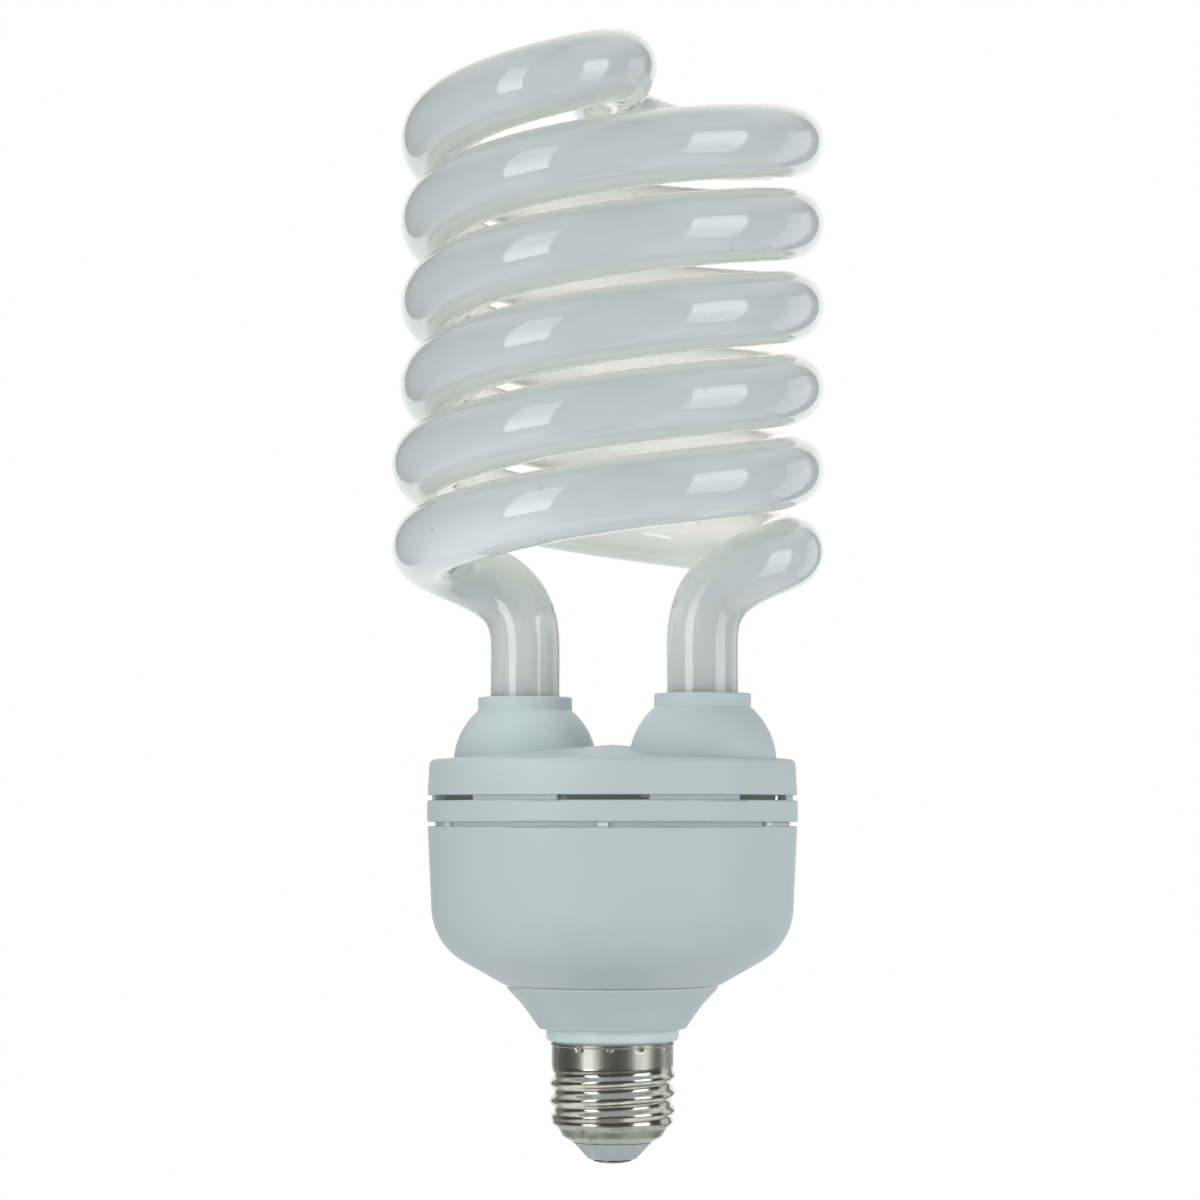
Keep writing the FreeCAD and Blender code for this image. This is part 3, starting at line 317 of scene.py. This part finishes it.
def plastic_finish(name, *zones):
    # Moulded plastic with a fine grain; a zone has a lowest and a highest height, a tone and a roughness
    finish = Finish(name, IOR=1.5, Specular_IOR_Level=0.35)
    cloud = finish.ramp(finish.noise(finish.place, scale=35.0, detail=4.0), low=0.3, high=0.7)
    shade = finish.mix(cloud, PLASTIC, PLASTIC_PALE)
    gloss = finish.blend(cloud, *PLASTIC_ROUGHNESS)
    height = finish.parts(finish.place)[2]
    for lowest, highest, tone, roughness in zones:
        above = finish.ramp(height, lowest - ZONE_EDGE, lowest)
        below = finish.rest(finish.ramp(height, highest, highest + ZONE_EDGE))
        within = finish.times(above, below)
        shade = finish.mix(within, shade, tone)
        gloss = finish.blend(within, gloss, roughness)
    finish.set(Base_Color=shade, Roughness=gloss)
    grain = finish.noise(finish.place, scale=2600.0, detail=2.0)
    finish.set(Normal=finish.bump(grain, strength=0.12, distance=0.00006))
    return finish.material


def nickel_finish():
    # Plated steel: bright on the thread, brushed on the band, dull and stained on the lip
    finish = Finish("nickel_plate", Metallic=1.0)
    height = finish.parts(finish.place)[2]
    lip = finish.rest(finish.ramp(height, *LIP_FADE))
    band = finish.ramp(height, *BAND_FADE)
    upright = finish.stretch(finish.place, (1.0, 1.0, 0.15))
    streak = finish.ramp(finish.noise(upright, scale=420.0, detail=3.0), low=0.3, high=0.75)
    blotch = finish.noise(finish.place, scale=300.0, detail=4.0, roughness=0.6)
    stain = finish.ramp(blotch, low=0.5, high=0.72)
    thread_tone = finish.mix(streak, THREAD_BRIGHT, THREAD_STREAK)
    band_tone = finish.mix(streak, BAND_BRIGHT, BAND_STREAK)
    lip_tone = finish.mix(stain, LIP_DULL, LIP_STAIN)
    finish.set(Base_Color=finish.mix(lip, finish.mix(band, thread_tone, band_tone), lip_tone))
    thread_gloss = finish.blend(streak, *THREAD_ROUGHNESS)
    band_gloss = finish.blend(streak, *BAND_ROUGHNESS)
    lip_gloss = finish.blend(stain, *LIP_ROUGHNESS)
    finish.set(Roughness=finish.blend(lip, finish.blend(band, thread_gloss, band_gloss), lip_gloss))
    dents = finish.noise(finish.place, scale=700.0, detail=2.0)
    finish.set(Normal=finish.bump(dents, strength=0.06, distance=0.00008))
    return finish.material


def plain_finish(name, tone, roughness, metallic=0.0, darkening=0.25):
    # One tone with darker, rougher clouds and a fine grain
    finish = Finish(name, Metallic=metallic)
    cloud = finish.ramp(finish.noise(finish.place, scale=400.0, detail=3.0), low=0.3, high=0.7)
    darker = tuple(value * (1 - darkening) for value in tone)
    rougher = min(1.0, roughness * CLOUD_ROUGHENING)
    finish.set(Base_Color=finish.mix(cloud, tone, darker))
    finish.set(Roughness=finish.blend(cloud, roughness, rougher))
    grain = finish.noise(finish.place, scale=2400.0, detail=2.0)
    finish.set(Normal=finish.bump(grain, strength=0.1, distance=0.0001))
    return finish.material


def dress(material, *names):
    for name in names:
        slots = nodes[name].data.materials
        slots.clear()
        slots.append(material)


glass = glass_finish()
nickel = nickel_finish()
# Painted light: the housing below the seam is near white, which lightens the shade in the seam
bowl_seam_painted_light = (LAMP_FOOT, BOWL_SEAM, SEAM_PAINTED_LIGHT, ZONE_ROUGHNESS)
# Painted shade: the cover's hooks behind the vent slots are dark olive
hooks_painted_shade = (LAMP_FOOT, HOOKS_TOP, COVER_HOOKS_PAINTED_SHADE, ZONE_ROUGHNESS)
# Painted light: the recessed tabs of the vent ring are paler, against the shade in the groove
tabs_painted_light = (LAMP_FOOT, TABS_TOP, RING_TABS_PAINTED_LIGHT, ZONE_ROUGHNESS)
neck_collar = (LAMP_FOOT, COLLAR_TOP, NECK_COLLAR, COLLAR_ROUGHNESS)
# Painted light on the neck above the seam, as for the housing
neck_seam_painted_light = (NECK_SEAM, ABOVE_NECK, SEAM_PAINTED_LIGHT, ZONE_ROUGHNESS)
dress(glass, "spiral_tube")
dress(plastic_finish("housing_plastic", bowl_seam_painted_light), "ballast_housing")
dress(plastic_finish("cover_plastic", hooks_painted_shade), "top_cover")
dress(plastic_finish("ring_plastic", tabs_painted_light), "vent_ring")
dress(plastic_finish("neck_plastic", neck_collar, neck_seam_painted_light), "neck_adapter")
dress(nickel, "screw_shell")
vitreous = plain_finish("insulator_vitreous", INSULATOR, INSULATOR_ROUGHNESS, darkening=0.08)
dress(vitreous, "base_insulator")

# Other finishes: tone, roughness, share of metal, and the pieces that have it
PLAIN_FINISHES = {
    "contact_metal": ((0.30, 0.29, 0.27), 0.35, 1.0, ["centre_contact"]),
    "cement": ((0.8, 0.79, 0.75), 0.9, 0.0, ["tube_cement"]),
    "phenolic_board": ((0.42, 0.28, 0.13), 0.6, 0.0, ["ballast_board"]),
    "capacitor_sleeve": ((0.03, 0.035, 0.05), 0.3, 0.0, ["bulk_capacitor_a", "bulk_capacitor_b"]),
    "ferrite": ((0.05, 0.05, 0.052), 0.7, 0.0, ["choke_core", "drive_core", "filter_choke_core"]),
    "bobbin_plastic": ((0.03, 0.03, 0.03), 0.5, 0.0, ["choke_bobbin"]),
    "enamelled_copper": (
        (0.62, 0.26, 0.1), 0.3, 1.0, ["choke_winding", "drive_windings", "filter_choke_winding"],
    ),
    "epoxy_case": (
        (0.02, 0.02, 0.02), 0.55, 0.0, ["transistor_a", "transistor_b", "rectifier_diodes", "diac"],
    ),
    "film_case": (
        (0.45, 0.09, 0.03), 0.3, 0.0, ["resonant_capacitor", "blocking_capacitor", "filter_capacitor"],
    ),
    "thermistor_coat": ((0.06, 0.2, 0.1), 0.5, 0.0, ["thermistor"]),
    "resistor_lacquer": ((0.55, 0.42, 0.25), 0.45, 0.0, ["resistors", "fusible_resistor"]),
    "tinned_wire": ((0.7, 0.7, 0.68), 0.3, 1.0, ["wrap_pins", "filament_leads"]),
    "wire_sleeve": ((0.75, 0.75, 0.72), 0.5, 0.0, ["live_wire", "neutral_wire"]),
}
for finish_name, (tone, roughness, metallic, pieces) in PLAIN_FINISHES.items():
    dress(plain_finish(finish_name, tone, roughness, metallic), *pieces)

# Glass tube: the CAD tube's route as one smooth sweep, in millimetres, with the slack of the lowest turns
TUBE_RADIUS = 7.375
COIL_RADIUS = 36.6
COIL_PITCH = 33.86
COIL_START = math.radians(37.1)
COIL_TURNS = 2.653
COIL_POINTS = 500
LEG_OFFSET = 21.9
TUBE_FOOT = 80.0
LEG_TOP = 110.0
COIL_FOOT = 127.2
FOOT_RISE = 13.2
FOOT_REACH = 20.5
BRIDGE_RISE = 8.3
BRIDGE_ANGLE = math.radians(140.6)
BRIDGE_REACH = 16.2
BRIDGE_SPAN = 21.4
BEND_POINTS = 60
ROUTE_SMOOTHING = 6
BELL_CURVE_END = 2
SLACK = 2.0
SLACK_FOOT = 112
SLACK_FOOT_FADE = 10
SLACK_TOP = 162
SLACK_TOP_FADE = 14
SLACK_SMOOTHING = 3
NEAR_AXIS = 1
RING_STEP = 1.35
RING_SIDES = 72


def coil_point(angle):
    height = COIL_FOOT + COIL_PITCH * (angle - COIL_START) / (2 * math.pi)
    return np.array([COIL_RADIUS * math.cos(angle), COIL_RADIUS * math.sin(angle), height])


def coil_heading(angle):
    heading = np.array([-math.sin(angle), math.cos(angle), COIL_PITCH / (2 * math.pi * COIL_RADIUS)])
    return heading / np.linalg.norm(heading)


def bend(start, leave, arrive, end):
    # A cubic curve with its two inner control points
    part = np.linspace(0, 1, BEND_POINTS)[:, None]
    rest = 1 - part
    return rest ** 3 * start + 3 * rest ** 2 * part * leave + 3 * rest * part ** 2 * arrive + part ** 3 * end


def even_steps(points, step):
    run = np.concatenate([[0], np.cumsum(np.linalg.norm(np.diff(points, axis=0), axis=1))])
    stops = np.linspace(0, run[-1], round(run[-1] / step) + 1)
    return np.stack([np.interp(stops, run, points[:, axis]) for axis in range(3)], axis=1)


def averaged(points, reach):
    # Each point is averaged with its neighbours by a bell curve, and the mirrored ends stay in place
    weights = np.exp(-np.linspace(-BELL_CURVE_END, BELL_CURVE_END, 2 * reach + 1) ** 2 / 2)
    weights /= weights.sum()
    ahead = 2 * points[-1] - points[-2:-2 - reach:-1]
    behind = 2 * points[0] - points[reach:0:-1]
    padded = np.concatenate([behind, points, ahead])
    return np.stack([np.convolve(padded[:, axis], weights, "valid") for axis in range(3)], axis=1)


def slackened(route):
    # The lowest turns stand out towards the corner at -X and -Y, which is on the left in the photograph
    x, y, z = route.T
    away = np.maximum(np.linalg.norm(route[:, :2], axis=1), NEAR_AXIS)
    left = (2 * np.clip(-x, 0, None) * np.clip(-y, 0, None) / away ** 2) ** 2
    above_foot = np.clip((z - SLACK_FOOT) / SLACK_FOOT_FADE, 0, 1)
    below_top = np.clip((SLACK_TOP - z) / SLACK_TOP_FADE, 0, 1)
    outward = route * [1, 1, 0] / away[:, None]
    return averaged(route + outward * (SLACK * left * (above_foot * below_top))[:, None], SLACK_SMOOTHING)


def tube_route():
    last = COIL_START + 2 * math.pi * COIL_TURNS
    leg = np.array([LEG_OFFSET, 0, LEG_TOP])
    start = coil_point(COIL_START)
    foot = bend(leg, leg + [0, 0, FOOT_RISE], start - coil_heading(COIL_START) * FOOT_REACH, start)
    coil = np.array([coil_point(angle) for angle in np.linspace(COIL_START, last, COIL_POINTS)])
    top = coil[-1] * [0, 0, 1] + [0, 0, BRIDGE_RISE]
    span = np.array([math.cos(BRIDGE_ANGLE), math.sin(BRIDGE_ANGLE), 0]) * BRIDGE_SPAN
    bridge = bend(coil[-1], coil[-1] + coil_heading(last) * BRIDGE_REACH, top - span, top)
    half = np.concatenate([[[LEG_OFFSET, 0, TUBE_FOOT]], foot, coil[1:], bridge[1:]])
    route = even_steps(np.concatenate([half, half[-2::-1] * [-1, -1, 1]]), RING_STEP)
    # Smoothing takes a little off the turns, and a second smoothing tells how much to give back
    smooth = averaged(route, ROUTE_SMOOTHING)
    return slackened(2 * smooth - averaged(smooth, ROUTE_SMOOTHING))


def phosphor_tube():
    route = tube_route()
    headings = np.gradient(route, axis=0)
    headings /= np.linalg.norm(headings, axis=1)[:, None]
    across = np.array([0.0, 1.0, 0.0])
    turns = np.linspace(0, 2 * math.pi, RING_SIDES, endpoint=False)[:, None]
    rings = []
    for place, heading in zip(route, headings):
        across = across - heading * (across @ heading)
        across /= np.linalg.norm(across)
        beside = np.cross(heading, across)
        rings.append(place + TUBE_RADIUS * (np.cos(turns) * across + np.sin(turns) * beside))
    points = np.concatenate(rings) / MILLIMETRES_PER_METRE
    last = (len(route) - 1) * RING_SIDES
    faces = []
    for below in range(0, last, RING_SIDES):
        faces += ring_faces(below, below + RING_SIDES, RING_SIDES)
    faces.append(tuple(range(RING_SIDES))[::-1])
    faces.append(tuple(range(last, last + RING_SIDES)))
    tube = add_mesh("phosphor_tube", points.tolist(), faces, flat_faces=2)
    tube.data.materials.append(glass)
    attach(tube, "root")
    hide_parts("spiral_tube")


phosphor_tube()

# Screw shell: the CAD shell's lip, thread, band and rim as one closed sheet with crimp marks, in millimetres
SHELL_RADIUS = 12.62
SHELL_WALL = 0.4
SHELL_TOP = 24.9
COLUMNS = 288
LIP_MOUTH = 7.75
LIP_FOOT = 4.35
LIP_CORNERS = [(LIP_MOUTH, LIP_FOOT), (8.15, LIP_FOOT), (10.3, 5.55), (11.15, 7.25), (SHELL_RADIUS, 8.4)]
LIP_ROUND = 0.35
LIP_FLAT_TOP = 5
THREAD_FOOT = 8.5
THREAD_TOP = 19.9
THREAD_ROW = 0.15
THREAD_PITCH = 3.629
THREAD_REACH = 0.475
THREAD_START = math.radians(138)
BAND_ROWS = (20.3, 21.2, 22.1, 22.8)
CRIMPS = 12
CRIMP_HEIGHT = 24.05
CRIMP_DEPTH = 0.5
CRIMP_WIDTH = 0.5
CRIMP_TALL = 0.4
CRIMP_ROWS_FOOT = 23.0
CRIMP_ROWS_TOP = 24.2
CRIMP_ROW = 0.1
RIM_FOOT = 24.25
RIM_SHOULDER = 24.4
RIM_FLARE = 0.15
RIM_INSET = 0.2
RIM_ROUND = 0.07
ROUND_STEPS = 4


def softened(corners, reach):
    # The polyline through the corners, with each inner corner cut by a small curve
    points = [Vector(corners[0])]
    for before, corner, after in zip(corners, corners[1:], corners[2:]):
        corner = Vector(corner)
        start = corner + (Vector(before) - corner).normalized() * reach
        end = corner + (Vector(after) - corner).normalized() * reach
        for index in range(ROUND_STEPS + 1):
            part = index / ROUND_STEPS
            points.append(start.lerp(corner, part).lerp(corner.lerp(end, part), part))
    return points + [Vector(corners[-1])]


def shell_radius(turn, radius, height):
    # The thread's level section is a circle that stands off the axis, and the crimp marks are small dents
    if THREAD_FOOT < height < THREAD_TOP:
        climbed = height - THREAD_FOOT
        fade = min(1, climbed / (THREAD_PITCH / 2), (THREAD_TOP - height) / (THREAD_PITCH / 2))
        reach = THREAD_REACH * fade
        off = turn - THREAD_START - 2 * math.pi * climbed / THREAD_PITCH
        return math.sqrt(radius ** 2 - (reach * math.sin(off)) ** 2) + reach * math.cos(off)
    spacing = 2 * math.pi / CRIMPS
    aside = (turn + spacing / 2) % spacing - spacing / 2
    dent = math.exp(-(aside * radius / CRIMP_WIDTH) ** 2 - ((height - CRIMP_HEIGHT) / CRIMP_TALL) ** 2)
    return radius - CRIMP_DEPTH * dent


def straight_rows(foot, top, step):
    count = round((top - foot) / step) + 1
    return [Vector((SHELL_RADIUS, foot + step * index)) for index in range(count)]


def shell_rows():
    # Radius and height of the rows of points, outside from the lip up and inside from the rim down
    lip = softened(LIP_CORNERS, LIP_ROUND)
    thread = straight_rows(THREAD_FOOT, THREAD_TOP, THREAD_ROW)
    band = [Vector((SHELL_RADIUS, height)) for height in BAND_ROWS]
    marks = straight_rows(CRIMP_ROWS_FOOT, CRIMP_ROWS_TOP, CRIMP_ROW)
    flare = SHELL_RADIUS + RIM_FLARE
    inset = SHELL_RADIUS - RIM_INSET
    rim_corners = [(SHELL_RADIUS, RIM_FOOT), (flare, RIM_SHOULDER), (flare, SHELL_TOP), (inset, SHELL_TOP)]
    outside = lip + thread + band + marks + softened(rim_corners, RIM_ROUND)
    inside = []
    for row in outside[::-1]:
        raised = SHELL_WALL if row.y < LIP_FLAT_TOP else 0
        inside.append(Vector((max(LIP_MOUTH, row.x - SHELL_WALL), row.y)) + Vector((0, raised)))
    return outside, inside


def rolled_shell():
    outside, inside = shell_rows()
    rows = [(row, 0) for row in outside] + [(row, SHELL_WALL) for row in inside]
    turns = [2 * math.pi * index / COLUMNS for index in range(COLUMNS)]
    points = []
    for row, wall in rows:
        for turn in turns:
            radius = shell_radius(turn, row.x + wall, row.y) - wall
            place = (radius * math.cos(turn), radius * math.sin(turn), row.y)
            points.append(tuple(value / MILLIMETRES_PER_METRE for value in place))
    faces = []
    for index in range(len(rows)):
        faces += ring_faces(index * COLUMNS, (index + 1) % len(rows) * COLUMNS, COLUMNS)
    shell = add_mesh("rolled_shell", points, faces)
    shell.data.materials.append(nickel)
    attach(shell, "root")
    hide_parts("screw_shell")


rolled_shell()

# Studio lights: soft boxes at a turn from the camera, fills that no reflection shows, and light let through
BOX_TINT = (0.96, 0.985, 1.0)
BOX_AWAY = 0.75
HOT_BAND_REACH = 0.5
HOT_BAND_LEVELS = (0.75, 1.5)
GLOW_SIZE = 0.012
GLOW_DOWN_RADIUS = 0.04
GLOW_DOWN_RADIANCE = 0.46
GLOW_DOWN_PLACE = -TO_THE_RIGHT * 0.016 + Vector((0, 0, 0.114))


def unseen(holder):
    holder.visible_camera = False
    holder.visible_glossy = False


def soft_box(name, turn, middle, width, height, radiance, away=BOX_AWAY):
    light = bpy.data.lights.new(name, "AREA")
    light.shape = "RECTANGLE"
    light.size = width
    light.size_y = height
    light.energy = radiance * math.pi * width * height
    light.color = BOX_TINT
    angle = math.radians(turn)
    side = TOWARDS_CAMERA * math.cos(angle) + TO_THE_RIGHT * math.sin(angle)
    holder = add_object(name, light)
    holder.location = side * away + Vector((0, 0, middle))
    holder.rotation_euler = facing(-side)
    holder.visible_camera = False
    return holder


def hot_band(holder, place):
    # A brighter band across a box, at a share of its height
    light = holder.data
    light.use_nodes = True
    graph = Graph(light.node_tree)
    along = graph.parts(graph.add("ShaderNodeNewGeometry").outputs["Parametric"])[1]
    off = graph.math("ABSOLUTE", graph.math("SUBTRACT", along, place))
    band = graph.ramp(off, HOT_BAND_REACH, 0.0)
    emission = graph.add("ShaderNodeEmission")
    graph.link(graph.blend(band, *HOT_BAND_LEVELS), emission.inputs["Strength"])
    graph.link(emission.outputs[0], graph.add("ShaderNodeOutputLight").inputs["Surface"])


def glow(name, height, energy):
    # The light that the milky glass and the thin plastic let through
    light = bpy.data.lights.new(name, "POINT")
    light.shadow_soft_size = GLOW_SIZE
    light.energy = energy
    holder = add_object(name, light)
    holder.location = (0, 0, height)
    unseen(holder)


def glow_down():
    # The same light, let down on the cover
    light = bpy.data.lights.new("glow_down", "AREA")
    light.shape = "DISK"
    light.size = 2 * GLOW_DOWN_RADIUS
    light.energy = GLOW_DOWN_RADIANCE * math.pi * math.pi * GLOW_DOWN_RADIUS ** 2
    holder = add_object("glow_down", light)
    holder.location = GLOW_DOWN_PLACE
    unseen(holder)


left_box = soft_box("left_box", turn=-43.5, middle=0.275, width=0.34, height=0.83, radiance=1.85)
right_box = soft_box("right_box", turn=58.5, middle=0.185, width=0.45, height=0.73, radiance=1.7)
hot_band(left_box, place=0.15)
hot_band(right_box, place=0.7)
soft_box("edge_light", turn=120, middle=0.12, width=0.36, height=0.7, radiance=0.5)
unseen(soft_box("left_fill", turn=-35, middle=0.12, width=0.5, height=0.7, radiance=1.22))
unseen(soft_box("dome_fill", turn=-35, middle=0.105, width=0.03, height=0.03, radiance=1.4, away=0.067))
unseen(soft_box("right_fill", turn=75, middle=0.14, width=0.5, height=0.4, radiance=1.3))
glow("glow_housing", height=0.073, energy=0.012)
glow("glow_low", height=0.14, energy=0.003)
glow("glow_middle", height=0.165, energy=0.008)
glow("glow_high", height=0.198, energy=0.007)
glow_down()

# Studio world: limits of its levels of light, by height or by turn, from 1 behind the lamp to -1 in front
BACKDROP_SIDE = (0.86, 0.88)
BACKDROP_TOP = (0.6, 0.85)
SIDES_TURN = (0.1, 0.8)
SIDES_LEVELS = (0.07, 0.26)
TENT_ABOVE = (0.35, 0.8)
TENT_BELOW = (-0.35, -0.8)
TENT_TURN = (-0.93, -0.7)
TENT_LEVELS = (0.2, 0.8)
SOFT_ABOVE = (0.2, 0.8)
SOFT_BELOW = (0.1, -0.6)
SOFT_LEVEL_ABOVE = 0.4
SOFT_LEVELS_BELOW = (0.47, 0.77)
WHITE = (1.0, 1.0, 1.0)


def studio_world():
    # Reflections show a white backdrop and a tent with a dark front; the camera sees plain white
    world = bpy.data.worlds.new("studio")
    scene.world = world
    world.use_nodes = True
    graph = Graph(world.node_tree)
    direction = graph.parts(graph.add("ShaderNodeTexCoord").outputs["Generated"])
    height = direction[2]
    turned = graph.level_share(direction, -TOWARDS_CAMERA)
    backdrop = graph.times(graph.ramp(turned, *BACKDROP_SIDE), graph.rest(graph.ramp(height, *BACKDROP_TOP)))
    sides = graph.blend(graph.ramp(turned, *SIDES_TURN), *SIDES_LEVELS)
    above_and_below = graph.plus(graph.ramp(height, *TENT_ABOVE), graph.ramp(height, *TENT_BELOW))
    tent = graph.times(above_and_below, graph.blend(graph.ramp(turned, *TENT_TURN), *TENT_LEVELS))
    reflected = graph.blend(backdrop, graph.plus(tent, sides), 1.0)
    soft_below = graph.blend(graph.ramp(height, *SOFT_BELOW), *SOFT_LEVELS_BELOW)
    soft = graph.blend(graph.ramp(height, *SOFT_ABOVE), soft_below, SOFT_LEVEL_ABOVE)
    path = graph.add("ShaderNodeLightPath")
    shade = graph.blend(path.outputs["Is Glossy Ray"], soft, reflected)
    background = graph.add("ShaderNodeBackground")
    graph.feed(background.inputs["Color"], WHITE)
    graph.link(graph.blend(path.outputs["Is Camera Ray"], shade, 1.0), background.inputs["Strength"])
    graph.link(background.outputs[0], graph.add("ShaderNodeOutputWorld").inputs["Surface"])


studio_world()

# Studio floor: round and pale, well below the lamp, which hangs clear of it
FLOOR_RADIUS = 0.5
FLOOR_HEIGHT = -1.2
FLOOR_SIDES = 64
FLOOR_TONE = (0.8, 0.8, 0.8)


def floor_material():
    # White to the camera and in reflections, and matt for all other light
    material = bpy.data.materials.new("white_floor")
    material.use_nodes = True
    graph = Graph(material.node_tree)
    path = graph.add("ShaderNodeLightPath")
    matt = graph.add("ShaderNodeBsdfDiffuse")
    graph.feed(matt.inputs["Color"], FLOOR_TONE)
    white = graph.add("ShaderNodeEmission")
    both = graph.add("ShaderNodeMixShader")
    graph.link(graph.larger(path.outputs["Is Camera Ray"], path.outputs["Is Glossy Ray"]), both.inputs[0])
    graph.link(matt.outputs[0], both.inputs[1])
    graph.link(white.outputs[0], both.inputs[2])
    graph.link(both.outputs[0], graph.add("ShaderNodeOutputMaterial").inputs["Surface"])
    return material


def studio_floor():
    turns = [2 * math.pi * index / FLOOR_SIDES for index in range(FLOOR_SIDES)]
    ring = [(FLOOR_RADIUS * math.cos(turn), FLOOR_RADIUS * math.sin(turn), FLOOR_HEIGHT) for turn in turns]
    floor = add_mesh("floor", ring, [tuple(range(FLOOR_SIDES))], flat_faces=1)
    floor.data.materials.append(floor_material())


studio_floor()
